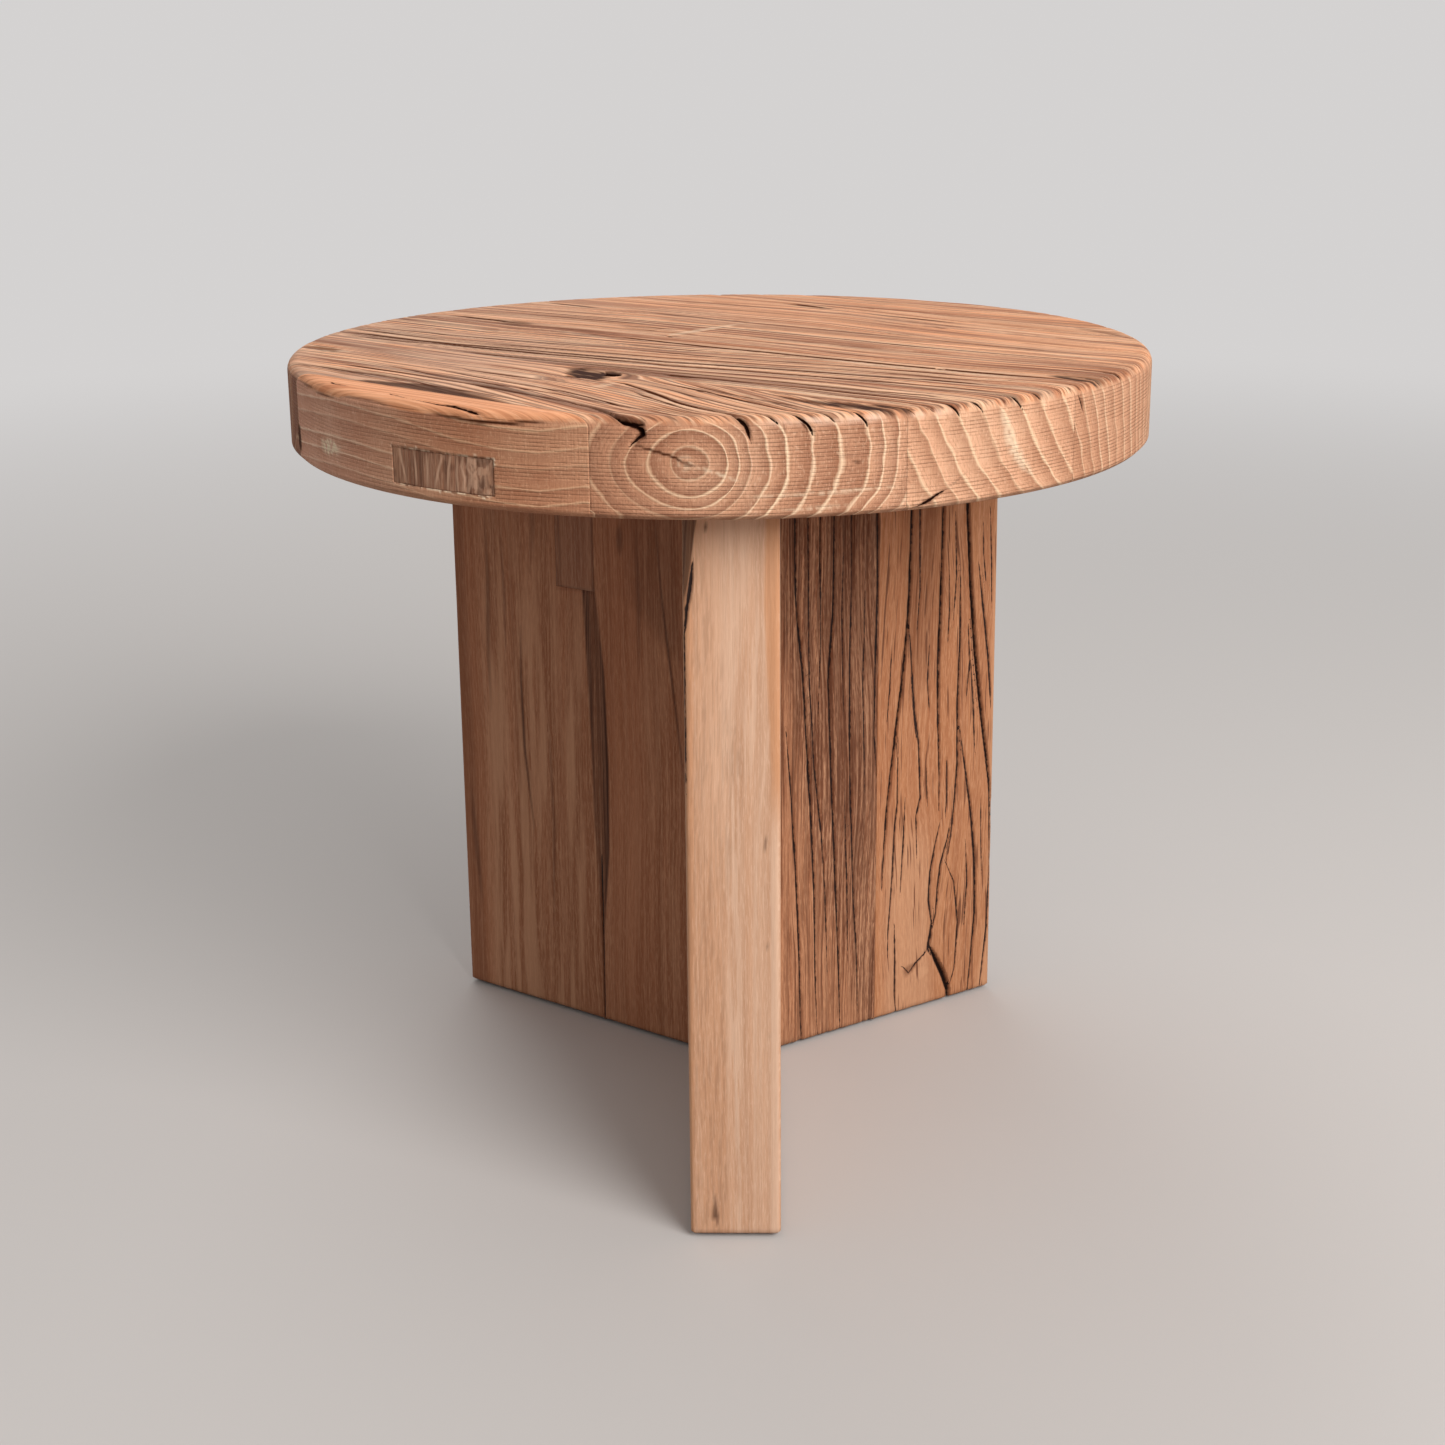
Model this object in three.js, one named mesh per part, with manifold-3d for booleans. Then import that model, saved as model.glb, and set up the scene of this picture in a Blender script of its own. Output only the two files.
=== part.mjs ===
// Round side table in reclaimed wood: a thick glued-up top on a base of three mitred blades.
// Millimetres, +Z up. The origin lies on the floor under the centre of the round top,
// and the front blade points towards -Y.
import * as THREE from 'three';
import Module from 'manifold-3d';
import { mergeVertices } from 'three/addons/utils/BufferGeometryUtils.js';

const wasm = await Module();
wasm.setup();

// Whole table
const tableHeight = 450;
const glueGap = 0.3;
const cutOverrun = 1;

// Round top
const topRadius = 250;
const topThickness = 49;
const topRoundover = 6;
const topArris = 2.5;
const rimFacets = 120;
const roundoverFacets = 5;
const grainAngle = THREE.MathUtils.degToRad(-40);

// Boards of the top: a narrow first one at the front left, alike wide ones, and a last one
const firstBoardWidth = 25;
const lastBoardWidth = 67;
const wideBoards = 4;

// Block let into the rim of the first board, over an old mortise
const patchLength = 64;
const patchHeight = 18;
const patchDepth = 9;
const patchRise = 16;
const patchAngle = THREE.MathUtils.degToRad(-83);

// Base: three upright blades, 120 degrees apart, each of an inner and an outer board
const bladeThickness = 48;
const frontReach = 205;
const leftReach = 199;
const rightReach = 181;
const innerBoardReach = 88;
const bladeArris = 2.5;
const footRounding = 3;
const arcFacets = 3;
const baseShiftX = 8.6;
const baseShiftY = -12;
const bladeSpacing = THREE.MathUtils.degToRad(120);
const frontAzimuth = THREE.MathUtils.degToRad(-91.1);
const mitreAngle = bladeSpacing / 2;

// Filled notch at the top of the left blade
const notchWidth = 28.5;
const notchHeight = 108;
const notchDepth = 22;

// Bark edge left on the top corner of the front blade
const waneWidth = 9;
const waneLength = 60;
const waneFacets = 4;

// Loose tenons across the mitred seams
const tenonThickness = 6;
const tenonSpan = 24;
const tenonHeight = 60;
const tenonPlaceShare = 0.54;
const tenonHeightShares = { low: 1 / 6, middle: 1 / 2, high: 5 / 6 };

// Dowels between the blades and the top, in blind holes, at shares of their board's reach
const dowelDiameter = 12;
const dowelLength = 50;
const dowelFacets = 16;
const innerDowelShare = 0.62;
const outerDowelShare = 0.7;

// Pads under the blades, in line with the dowels
const padDiameter = 30;
const padThickness = 2;
const padFacets = 24;

// Main grooves of the brushed top face
const grooveWidth = 3.4;
const grooveDepth = 1.4;

// Drying splits: the widest width and the greatest depth of each kind
const rimSplitLength = 62;
const rimSplitWidth = 2.6;
const rimSplitDepth = 14;
const heartSplitWidth = 3;
const heartSplitDepth = 10;
const bladeSplitWidth = 2;
const bladeSplitDepth = 12;
const fissureWidth = 1.4;
const fissureDepth = 6;

// Sizes that follow from the ones above
const wideBoardWidth = (2 * topRadius - firstBoardWidth - lastBoardWidth) / wideBoards;
const topUnderside = tableHeight - topThickness;
const bladeHeight = topUnderside - padThickness;
const halfThickness = bladeThickness / 2;
const seamLength = halfThickness / Math.sin(mitreAngle);
const mitreRun = halfThickness / Math.tan(mitreAngle);
const mitreTip = glueGap / (2 * Math.sin(mitreAngle));
const tenonPlace = seamLength * tenonPlaceShare;

const blades = {
  front: { reach: frontReach, azimuth: frontAzimuth },
  right: { reach: rightReach, azimuth: frontAzimuth + bladeSpacing },
  left: { reach: leftReach, azimuth: frontAzimuth + 2 * bladeSpacing }
};

// Colours and roughness
const woodRoughness = 0.7;
const feltRoughness = 0.95;
const feltColour = 0x2b2724;
const woods = {
  top: [0xb98a62, 0xb07f57, 0xb5835a, 0xae7a50, 0xb28058, 0xa9764e],
  patch: 0x9c7450,
  front: 0xc39a75,
  left: 0xa27453,
  rightInner: 0x7d5a42,
  rightOuter: 0xb07d56,
  notch: 0x966848,
  beech: 0xc8a27a
};

function material(color, roughness = woodRoughness) {
  return new THREE.MeshStandardMaterial({ color, roughness, metalness: 0, flatShading: true });
}

// Solids and meshes
function solid(geometry) {
  const bare = geometry.index ? geometry.clone() : geometry;
  bare.deleteAttribute('normal');
  bare.deleteAttribute('uv');
  const merged = mergeVertices(bare);
  return new wasm.Manifold(new wasm.Mesh({
    numProp: 3,
    vertProperties: new Float32Array(merged.attributes.position.array),
    triVerts: new Uint32Array(merged.index.array)
  }));
}

function cutAll(body, cutters) {
  let result = body;
  for (const cutter of cutters) {
    result = result.subtract(cutter);
  }
  return result;
}

function namedMesh(name, body, look) {
  const cut = body.getMesh();
  const geometry = new THREE.BufferGeometry();
  geometry.setAttribute('position', new THREE.BufferAttribute(new Float32Array(cut.vertProperties), 3));
  geometry.setIndex(new THREE.BufferAttribute(new Uint32Array(cut.triVerts), 1));
  geometry.computeVertexNormals();
  const mesh = new THREE.Mesh(geometry, look);
  mesh.name = name;
  return mesh;
}

// A block given by its centre and size
function block(sizeX, sizeY, sizeZ, x, y, z) {
  return new THREE.BoxGeometry(sizeX, sizeY, sizeZ).translate(x, y, z);
}

// An upright round bar or bore
function roundBar(diameter, bottom, top, facets, x, y) {
  const bar = new THREE.CylinderGeometry(diameter / 2, diameter / 2, top - bottom, facets);
  return bar.rotateX(Math.PI / 2).translate(x, y, (bottom + top) / 2);
}

// A split follows its points and tapers to nothing at both ends
function splitShape(points, width) {
  const last = points.length - 1;
  const side = (sign) => points.map((point, index) => {
    const before = points[Math.max(index - 1, 0)];
    const after = points[Math.min(index + 1, last)];
    const along = new THREE.Vector2().subVectors(after, before).normalize();
    const half = sign * width / 2 * Math.sin(Math.PI * index / last);
    return new THREE.Vector2(point.x - along.y * half, point.y + along.x * half);
  });
  const back = side(-1).slice(1, last).reverse();
  return new THREE.Shape([...side(1), ...back]);
}

// A split sunk into an upright face. It points along -Y and is drawn in X and Z.
function faceSplit(points, width, depth, facePlane) {
  const cut = new THREE.ExtrudeGeometry(splitShape(points, width), {
    depth: depth + cutOverrun,
    bevelEnabled: false
  });
  return cut.rotateX(Math.PI / 2).translate(0, facePlane + depth, 0);
}

// The whole round slab, turned about its axis
function slabProfile() {
  const profile = [new THREE.Vector2(0, topUnderside)];
  profile.push(new THREE.Vector2(topRadius - topArris, topUnderside));
  profile.push(new THREE.Vector2(topRadius, topUnderside + topArris));
  for (let step = 0; step <= roundoverFacets; step += 1) {
    const turn = Math.PI / 2 * step / roundoverFacets;
    const x = topRadius - topRoundover + topRoundover * Math.cos(turn);
    const y = tableHeight - topRoundover + topRoundover * Math.sin(turn);
    profile.push(new THREE.Vector2(x, y));
  }
  profile.push(new THREE.Vector2(0, tableHeight));
  return profile;
}

// Splits that run off the rim along the grain: angle on the rim from the grain line,
// then the shares of the full length and depth
const rimSplitShares = [
  [-47.1, 0.9, 1], [-41, 0.5, 0.6], [-37.6, 0.75, 0.7], [-34.3, 0.5, 0.4], [-31.8, 0.6, 0.5],
  [-24.2, 0.8, 0.5], [-20.9, 0.55, 0.4], [-14.8, 0.9, 0.6], [-11.3, 0.65, 0.45], [-3.1, 0.8, 0.5]
];

function rimSplits() {
  return rimSplitShares.map(([degrees, lengthShare, depthShare]) => {
    const angle = THREE.MathUtils.degToRad(degrees);
    const x = topRadius * Math.cos(angle);
    const y = topRadius * Math.sin(angle);
    const length = rimSplitLength * lengthShare;
    const depth = rimSplitDepth * depthShare;
    const points = [
      new THREE.Vector2(x - length, y + rimSplitWidth),
      new THREE.Vector2(x - length / 2, y + rimSplitWidth / 2),
      new THREE.Vector2(x, y),
      new THREE.Vector2(x + length, y)
    ];
    const cut = new THREE.ExtrudeGeometry(splitShape(points, rimSplitWidth), {
      depth: depth + cutOverrun,
      bevelEnabled: false
    });
    return solid(cut.translate(0, 0, tableHeight - depth));
  });
}

// The split from the heart of the second board: up the rim, then over the edge onto the top.
// Rim points are shares of the slab's thickness, along the rim and up from its underside.
const heartAngle = THREE.MathUtils.degToRad(-53.2);
const heartRimShares = [[0, 0.56], [-0.22, 0.65], [-0.46, 0.77], [-0.35, 0.87], [-0.6, 1.08]];
const heartTopShares = [[0.3, -0.8], [0.4, -0.845], [0.47, -0.885], [0.56, -0.94]];

function heartSplits() {
  const rimPoints = heartRimShares.map(([along, up]) => (
    new THREE.Vector2(along * topThickness, topUnderside + up * topThickness)
  ));
  const rimCut = faceSplit(rimPoints, heartSplitWidth, heartSplitDepth, -topRadius);
  rimCut.rotateZ(heartAngle + Math.PI / 2);
  const topPoints = heartTopShares.map(([x, y]) => new THREE.Vector2(x * topRadius, y * topRadius));
  const topCut = new THREE.ExtrudeGeometry(splitShape(topPoints, 2 * heartSplitWidth), {
    depth: heartSplitDepth + cutOverrun,
    bevelEnabled: false
  });
  topCut.translate(0, 0, tableHeight - heartSplitDepth);
  return [solid(rimCut), solid(topCut)];
}

// Main grooves along the grain of the top face: shares of the radius, along and across the boards
const grooveShares = [
  [[-0.95, 0.122], [-0.62, 0.156], [-0.2, 0.2], [0.44, 0.212], [0.92, 0.264]],
  [[-0.68, 0.016], [-0.28, 0.04], [0, 0.06], [0.52, 0.064]],
  [[-0.3, -0.05], [0, -0.056], [0.44, -0.044], [0.66, -0.03], [0.96, -0.004]],
  [[-0.93, -0.328], [-0.6, -0.304], [-0.16, -0.232], [0.14, -0.192], [0.56, -0.108]],
  [[-0.88, -0.42], [-0.48, -0.404], [0, -0.332], [0.33, -0.26], [0.72, -0.172], [0.95, -0.148]],
  [[-0.44, -0.412], [0, -0.368], [0.36, -0.304], [0.62, -0.256], [0.95, -0.22]],
  [[-0.2, -0.462], [0.12, -0.428], [0.4, -0.384], [0.7, -0.356], [0.92, -0.336]],
  [[0.36, -0.524], [0.52, -0.564], [0.64, -0.58], [0.8, -0.568]],
  [[0.14, -0.58], [0.32, -0.62], [0.47, -0.692], [0.63, -0.728], [0.68, -0.732]],
  [[-0.31, -0.64], [-0.18, -0.696], [0.2, -0.732], [0.42, -0.77]],
  [[-0.56, -0.768], [-0.1, -0.776], [0.16, -0.79], [0.3, -0.816]],
  [[-0.36, 0.712], [-0.18, 0.676], [0.16, 0.63], [0.36, 0.616]],
  [[-0.85, 0.4], [-0.3, 0.43], [0.16, 0.412], [0.5, 0.384], [0.88, 0.38]],
  [[-0.7, 0.56], [-0.2, 0.54], [0.22, 0.504], [0.5, 0.49], [0.78, 0.5]],
  [[-0.4, 0.886], [0, 0.872], [0.3, 0.84], [0.44, 0.85]]
];

function topGrooves() {
  return grooveShares.map((line) => {
    const points = line.map(([x, y]) => new THREE.Vector2(x * topRadius, y * topRadius));
    const cut = new THREE.ExtrudeGeometry(splitShape(points, grooveWidth), {
      depth: grooveDepth + cutOverrun,
      bevelEnabled: false
    });
    return solid(cut.translate(0, 0, tableHeight - grooveDepth));
  });
}

// Places of the dowels along a blade, one in each board, clear of the top's glue lines
function dowelPlaces(reach) {
  return {
    inner: innerBoardReach * innerDowelShare,
    outer: innerBoardReach + (reach - innerBoardReach) * outerDowelShare
  };
}

function bladeMatrix(azimuth) {
  const turn = new THREE.Matrix4().makeRotationZ(azimuth);
  return turn.setPosition(baseShiftX, baseShiftY, 0);
}

function dowelHoles(azimuth, reach) {
  const places = dowelPlaces(reach);
  const top = topUnderside + dowelLength / 2 + glueGap;
  const bottom = topUnderside - dowelLength / 2 - glueGap;
  const bore = dowelDiameter + 2 * glueGap;
  return Object.values(places).map((place) => roundBar(bore, bottom, top, dowelFacets, place, 0));
}

// The top: boards cut from the round slab, with the rim patch
function makeTop() {
  const group = new THREE.Group();
  group.rotation.z = grainAngle;
  const toTop = new THREE.Matrix4().makeRotationZ(-grainAngle);

  const slab = solid(new THREE.LatheGeometry(slabProfile(), rimFacets).rotateX(Math.PI / 2));
  const patchZ = topUnderside + patchRise;
  const patchBlock = (gap) => {
    const depth = patchDepth + 2 * cutOverrun;
    const inner = topRadius - patchDepth - gap;
    const shape = block(depth, patchLength + 2 * gap, patchHeight + 2 * gap, inner + depth / 2, 0, patchZ);
    return solid(shape.rotateZ(patchAngle));
  };

  const cuts = [patchBlock(glueGap), ...rimSplits(), ...heartSplits(), ...topGrooves()];
  for (const { reach, azimuth } of Object.values(blades)) {
    for (const hole of dowelHoles(azimuth, reach)) {
      cuts.push(solid(hole.applyMatrix4(bladeMatrix(azimuth)).applyMatrix4(toTop)));
    }
  }
  const carved = cutAll(slab, cuts);

  const glueLines = [-topRadius + firstBoardWidth];
  for (let board = 1; board <= wideBoards; board += 1) {
    glueLines.push(glueLines[0] + board * wideBoardWidth);
  }
  const starts = [-topRadius - cutOverrun, ...glueLines.map((line) => line + glueGap / 2)];
  const ends = [...glueLines.map((line) => line - glueGap / 2), topRadius + cutOverrun];
  starts.forEach((start, index) => {
    const end = ends[index];
    const strip = block(2 * topRadius + cutOverrun, end - start, topThickness + 2 * cutOverrun,
      0, (end + start) / 2, tableHeight - topThickness / 2);
    const board = carved.intersect(solid(strip));
    group.add(namedMesh(`top_board_${index + 1}`, board, material(woods.top[index])));
  });
  group.add(namedMesh('rim_patch', slab.intersect(patchBlock(0)), material(woods.patch)));
  return group;
}

// Inner board of a blade: a 120 degree point towards the centre, a square edge outwards
function innerBoard() {
  const edge = innerBoardReach - glueGap / 2;
  const outline = new THREE.Shape([
    new THREE.Vector2(mitreTip, 0),
    new THREE.Vector2(mitreTip + mitreRun, -halfThickness),
    new THREE.Vector2(edge, -halfThickness),
    new THREE.Vector2(edge, halfThickness),
    new THREE.Vector2(mitreTip + mitreRun, halfThickness)
  ]);
  return solid(new THREE.ExtrudeGeometry(outline, { depth: bladeHeight, bevelEnabled: false })
    .translate(0, 0, padThickness));
}

// Outer board: plan with rounded upright arrises, side view with a rounded foot
function outerBoard(reach) {
  const edge = innerBoardReach + glueGap / 2;
  const plan = new THREE.Shape();
  plan.moveTo(edge, -halfThickness);
  plan.lineTo(reach - bladeArris, -halfThickness);
  plan.absarc(reach - bladeArris, -halfThickness + bladeArris, bladeArris, -Math.PI / 2, 0, false);
  plan.lineTo(reach, halfThickness - bladeArris);
  plan.absarc(reach - bladeArris, halfThickness - bladeArris, bladeArris, 0, Math.PI / 2, false);
  plan.lineTo(edge, halfThickness);
  const upright = new THREE.ExtrudeGeometry(plan, {
    depth: bladeHeight,
    bevelEnabled: false,
    curveSegments: arcFacets
  }).translate(0, 0, padThickness);

  const side = new THREE.Shape();
  const footX = reach - footRounding;
  side.moveTo(edge - cutOverrun, padThickness);
  side.lineTo(footX, padThickness);
  side.absarc(footX, padThickness + footRounding, footRounding, -Math.PI / 2, 0, false);
  side.lineTo(reach, topUnderside + cutOverrun);
  side.lineTo(edge - cutOverrun, topUnderside + cutOverrun);
  const slice = new THREE.ExtrudeGeometry(side, {
    depth: bladeThickness + 2 * cutOverrun,
    bevelEnabled: false,
    curveSegments: arcFacets
  }).rotateX(Math.PI / 2).translate(0, halfThickness + cutOverrun, 0);
  return solid(upright).intersect(solid(slice));
}

// Pockets for the loose tenons in the two mitre faces of an inner board
function tenonBlock(gap, heightShare) {
  const z = padThickness + bladeHeight * heightShare;
  return block(tenonThickness + 2 * gap, tenonSpan + 2 * gap, tenonHeight + 2 * gap, tenonPlace, 0, z);
}

function tenonPockets() {
  const pockets = [];
  for (const side of [-1, 1]) {
    for (const share of Object.values(tenonHeightShares)) {
      pockets.push(solid(tenonBlock(glueGap, share).rotateZ(side * mitreAngle)));
    }
  }
  return pockets;
}

// Splits in the right blade, drawn on its outer board: shares of that board's width,
// from the glue line outwards, and of the blade's height
const outerSplitShares = [
  [[0.26, 1.04], [0.24, 0.68], [0.16, 0.56], [0.07, 0.38]],
  [[0.24, 0.66], [0.31, 0.5], [0.355, 0.45], [0.37, 0.36], [0.34, 0.25]],
  [[0.55, 1.06], [0.53, 0.68], [0.505, 0.38], [0.44, 0.19], [0.48, 0.14], [0.44, 0.095]],
  [[0.43, 0.11], [0.54, 0.067], [0.62, 0.03], [0.62, -0.04]],
  [[0.62, 0.31], [0.57, 0.255], [0.525, 0.157], [0.46, 0.11]],
  [[0.72, 1.06], [0.785, 0.66], [0.85, 0.53], [0.93, 0.36]],
  [[0.667, 0.52], [0.66, 0.315], [0.6, 0.24], [0.68, 0.2], [0.71, 0.13], [0.62, 0.03]],
  [[0.73, 0.42], [0.8, 0.325], [0.85, 0.24], [0.845, 0.145], [0.79, -0.03]],
  [[0.172, 0.48], [0.14, 0.38], [0.13, 0.28], [0.1, 0.15]]
];

// Long fissures in the weathered inner board, in the same shares of its own width
const innerFissureShares = [
  [[0.15, 1.04], [0.22, 0.6], [0.24, 0.4], [0.15, 0.3], [0.16, -0.04]],
  [[0.27, 1.04], [0.3, 0.6], [0.36, 0.4], [0.31, 0.25], [0.3, -0.04]],
  [[0.56, 1.04], [0.51, 0.58], [0.55, 0.38], [0.59, 0.2], [0.56, -0.04]],
  [[0.76, 1.04], [0.72, 0.62], [0.72, 0.5], [0.76, 0.28], [0.77, -0.04]]
];

function bladeSplits(shares, from, to, width, depth) {
  return shares.map((line) => {
    const points = line.map(([across, up]) => (
      new THREE.Vector2(from + across * (to - from), padThickness + up * bladeHeight)
    ));
    return solid(faceSplit(points, width, depth, -halfThickness));
  });
}

function notchBlock(gap) {
  const start = innerBoardReach + glueGap / 2;
  const bottom = topUnderside - notchHeight - gap;
  const top = topUnderside + (gap ? cutOverrun : 0);
  const width = notchWidth + gap;
  const depth = notchDepth + gap + cutOverrun;
  const y = halfThickness + cutOverrun - depth / 2;
  return solid(block(width, depth, top - bottom, start + width / 2, y, (top + bottom) / 2));
}

// One blade with its two boards, dowels and pads, in a frame with X along the blade
function makeBlade(name, { reach, azimuth }, looks, innerCuts, outerCuts) {
  const group = new THREE.Group();
  group.position.set(baseShiftX, baseShiftY, 0);
  group.rotation.z = azimuth;
  const holes = dowelHoles(azimuth, reach).map(solid);
  const inner = cutAll(innerBoard(), [...tenonPockets(), ...holes, ...innerCuts]);
  const outer = cutAll(outerBoard(reach), [...holes, ...outerCuts]);
  group.add(namedMesh(`${name}_blade_inner_board`, inner, material(looks.inner)));
  group.add(namedMesh(`${name}_blade_outer_board`, outer, material(looks.outer)));

  const half = dowelLength / 2;
  for (const [board, place] of Object.entries(dowelPlaces(reach))) {
    const dowel = roundBar(dowelDiameter, topUnderside - half, topUnderside + half, dowelFacets, place, 0);
    group.add(namedMesh(`${name}_blade_${board}_dowel`, solid(dowel), material(woods.beech)));
    const pad = roundBar(padDiameter, 0, padThickness, padFacets, place, 0);
    group.add(namedMesh(`${name}_blade_${board}_pad`, solid(pad), material(feltColour, feltRoughness)));
  }
  return group;
}

function makeFrontBlade() {
  const wane = new THREE.ConeGeometry(waneWidth, waneLength, waneFacets).rotateX(-Math.PI / 2);
  wane.translate(frontReach, -halfThickness, topUnderside - waneLength / 2);
  const looks = { inner: woods.front, outer: woods.front };
  return makeBlade('front', blades.front, looks, [], [solid(wane)]);
}

function makeRightBlade() {
  const looks = { inner: woods.rightInner, outer: woods.rightOuter };
  const fissures = bladeSplits(innerFissureShares, mitreRun, innerBoardReach, fissureWidth, fissureDepth);
  const splits = bladeSplits(outerSplitShares, innerBoardReach, rightReach,
    bladeSplitWidth, bladeSplitDepth);
  return makeBlade('right', blades.right, looks, fissures, splits);
}

function makeLeftBlade() {
  const looks = { inner: woods.left, outer: woods.left };
  const group = makeBlade('left', blades.left, looks, [], [notchBlock(glueGap)]);
  const flush = outerBoard(leftReach).intersect(notchBlock(0));
  group.add(namedMesh('left_blade_notch_block', flush, material(woods.notch)));
  return group;
}

// Loose tenons, three to each seam between neighbouring blades
function makeTenons() {
  const group = new THREE.Group();
  group.position.set(baseShiftX, baseShiftY, 0);
  const seams = { front_right: 'front', right_left: 'right', left_front: 'left' };
  for (const [seam, blade] of Object.entries(seams)) {
    const seamGroup = new THREE.Group();
    seamGroup.rotation.z = blades[blade].azimuth + mitreAngle;
    for (const [level, share] of Object.entries(tenonHeightShares)) {
      const tenon = solid(tenonBlock(0, share));
      seamGroup.add(namedMesh(`tenon_${seam}_${level}`, tenon, material(woods.beech)));
    }
    group.add(seamGroup);
  }
  return group;
}

const table = new THREE.Group();
table.add(makeTop());
table.add(makeFrontBlade());
table.add(makeRightBlade());
table.add(makeLeftBlade());
table.add(makeTenons());

export default table;
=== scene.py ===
import math
from functools import reduce

import bmesh
import bpy
import numpy as np
from mathutils import Matrix, Vector


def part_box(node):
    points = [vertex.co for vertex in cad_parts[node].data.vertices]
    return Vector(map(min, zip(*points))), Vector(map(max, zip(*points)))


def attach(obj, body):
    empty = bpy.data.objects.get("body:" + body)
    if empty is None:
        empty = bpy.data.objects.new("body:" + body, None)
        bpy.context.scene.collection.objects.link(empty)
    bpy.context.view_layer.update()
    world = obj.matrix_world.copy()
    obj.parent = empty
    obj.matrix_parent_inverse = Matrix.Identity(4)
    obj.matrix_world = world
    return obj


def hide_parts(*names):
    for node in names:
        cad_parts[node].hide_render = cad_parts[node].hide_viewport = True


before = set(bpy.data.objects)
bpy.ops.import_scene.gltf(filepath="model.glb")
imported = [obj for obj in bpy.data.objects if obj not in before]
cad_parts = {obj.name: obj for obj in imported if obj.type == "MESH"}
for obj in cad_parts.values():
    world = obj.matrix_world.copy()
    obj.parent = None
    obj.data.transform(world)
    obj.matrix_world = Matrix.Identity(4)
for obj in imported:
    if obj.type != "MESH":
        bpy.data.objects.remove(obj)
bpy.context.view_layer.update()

# Round side table in reclaimed wood. Metres, +Z up, as in the frame.
MM = 0.001

# Sizes that the frame gives
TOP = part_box("top_board_3")[1][2]
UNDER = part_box("top_board_3")[0][2]
SLAB_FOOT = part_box("front_blade_inner_board")[0][2]

# Round top, as the CAD model has it: boards run along X of the grain frame
RADIUS = 249.95 * MM
ROUNDOVER = 6 * MM
ARRIS = 2.5 * MM
GLUE_GAP = 0.12 * MM
GRAIN_ANGLE = math.radians(-40)
FIRST_BOARD = 25 * MM
LAST_BOARD = 67 * MM
WIDE_BOARDS = 4

# Base: blade frames run along X from the shared centre
HALF_BLADE = 24 * MM
JOINT_REACH = 88 * MM
REACH = {"front": 205 * MM, "right": 181 * MM, "left": 199 * MM}
FRONT_AZIMUTH = math.radians(-91.1)
AZIMUTH = {
    "front": FRONT_AZIMUTH,
    "right": FRONT_AZIMUTH + math.radians(120),
    "left": FRONT_AZIMUTH + math.radians(240),
}
BASE_SHIFT = Vector((8.6 * MM, -12 * MM, 0))
NOTCH_WIDTH = 28.5 * MM
NOTCH_HEIGHT = 108 * MM
NOTCH_DEPTH = 22 * MM
WANE_WIDTH = 9 * MM
WANE_LENGTH = 60 * MM

# Patch let into the rim of the first board, and the recess that holds it
PATCH_ANGLE = math.radians(-83)
PATCH_HALF_LENGTH = 32 * MM
PATCH_HALF_HEIGHT = 9 * MM
PATCH_DEPTH = 9 * MM
PATCH_MIDDLE = UNDER + 16 * MM
HAIR = 0.02 * MM

# Fineness of the modelled surfaces
RIM_STEP = 0.7 * MM
BLADE_STEP = 0.75 * MM

# Camera at the photograph's viewing angle
PHOTO = 1445
FOCAL_PX = 1816.2
CENTRE_X = 722.5
CENTRE_Y = 505
EYE = Vector((0, -1070.2 * MM, 599.9 * MM))
PITCH = math.radians(13.12)
YAW = math.radians(0.05)
ROLL = math.radians(-0.48)


def make_camera():
    ahead = Vector((math.sin(YAW) * math.cos(PITCH), math.cos(YAW) * math.cos(PITCH), -math.sin(PITCH)))
    right = Vector((math.cos(YAW), -math.sin(YAW), 0))
    up = right.cross(ahead)
    turned_right = right * math.cos(ROLL) + up * math.sin(ROLL)
    turned_up = up * math.cos(ROLL) - right * math.sin(ROLL)
    data = bpy.data.cameras.new("camera")
    data.sensor_width = 36
    data.lens = FOCAL_PX / PHOTO * data.sensor_width
    data.shift_x = (PHOTO / 2 - CENTRE_X) / PHOTO
    data.shift_y = (CENTRE_Y - PHOTO / 2) / PHOTO
    data.clip_end = 50
    camera = bpy.data.objects.new("camera", data)
    turn = Matrix((turned_right, turned_up, -ahead)).transposed()
    camera.matrix_world = Matrix.Translation(EYE) @ turn.to_4x4()
    bpy.context.scene.collection.objects.link(camera)
    bpy.context.scene.camera = camera

# Seeded smooth noise on arrays, 0 to 1
TABLE = 256


def noise(x, y, seed):
    table = np.random.default_rng(seed).random((TABLE, TABLE))
    column = np.floor(x).astype(int)
    row = np.floor(y).astype(int)
    fx = x - column
    fy = y - row
    fx = fx * fx * (3 - 2 * fx)
    fy = fy * fy * (3 - 2 * fy)
    near_x, far_x = column % TABLE, (column + 1) % TABLE
    near_y, far_y = row % TABLE, (row + 1) % TABLE
    low = table[near_x, near_y] * (1 - fx) + table[far_x, near_y] * fx
    high = table[near_x, far_y] * (1 - fx) + table[far_x, far_y] * fx
    return low * (1 - fy) + high * fy


def fractal(x, y, seed, octaves=3):
    total = 0
    weight = 0
    for octave in range(octaves):
        gain = 0.5 ** octave
        total = total + gain * noise(x * 2 ** octave, y * 2 ** octave, seed + octave)
        weight += gain
    return total / weight


def grained(x, y, long, wide, seed, octaves=3, shift=0):
    """Noise stretched over so many millimetres along x and y."""
    return fractal(x / (long * MM) + shift, y / (wide * MM) + shift, seed, octaves)


def smooth(low, high, value):
    share = np.clip((value - low) / (high - low), 0, 1)
    return share * share * (3 - 2 * share)


def rise(low, high, value):
    """From 0 to 1 between two sizes in millimetres."""
    return smooth(low * MM, high * MM, value)


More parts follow.
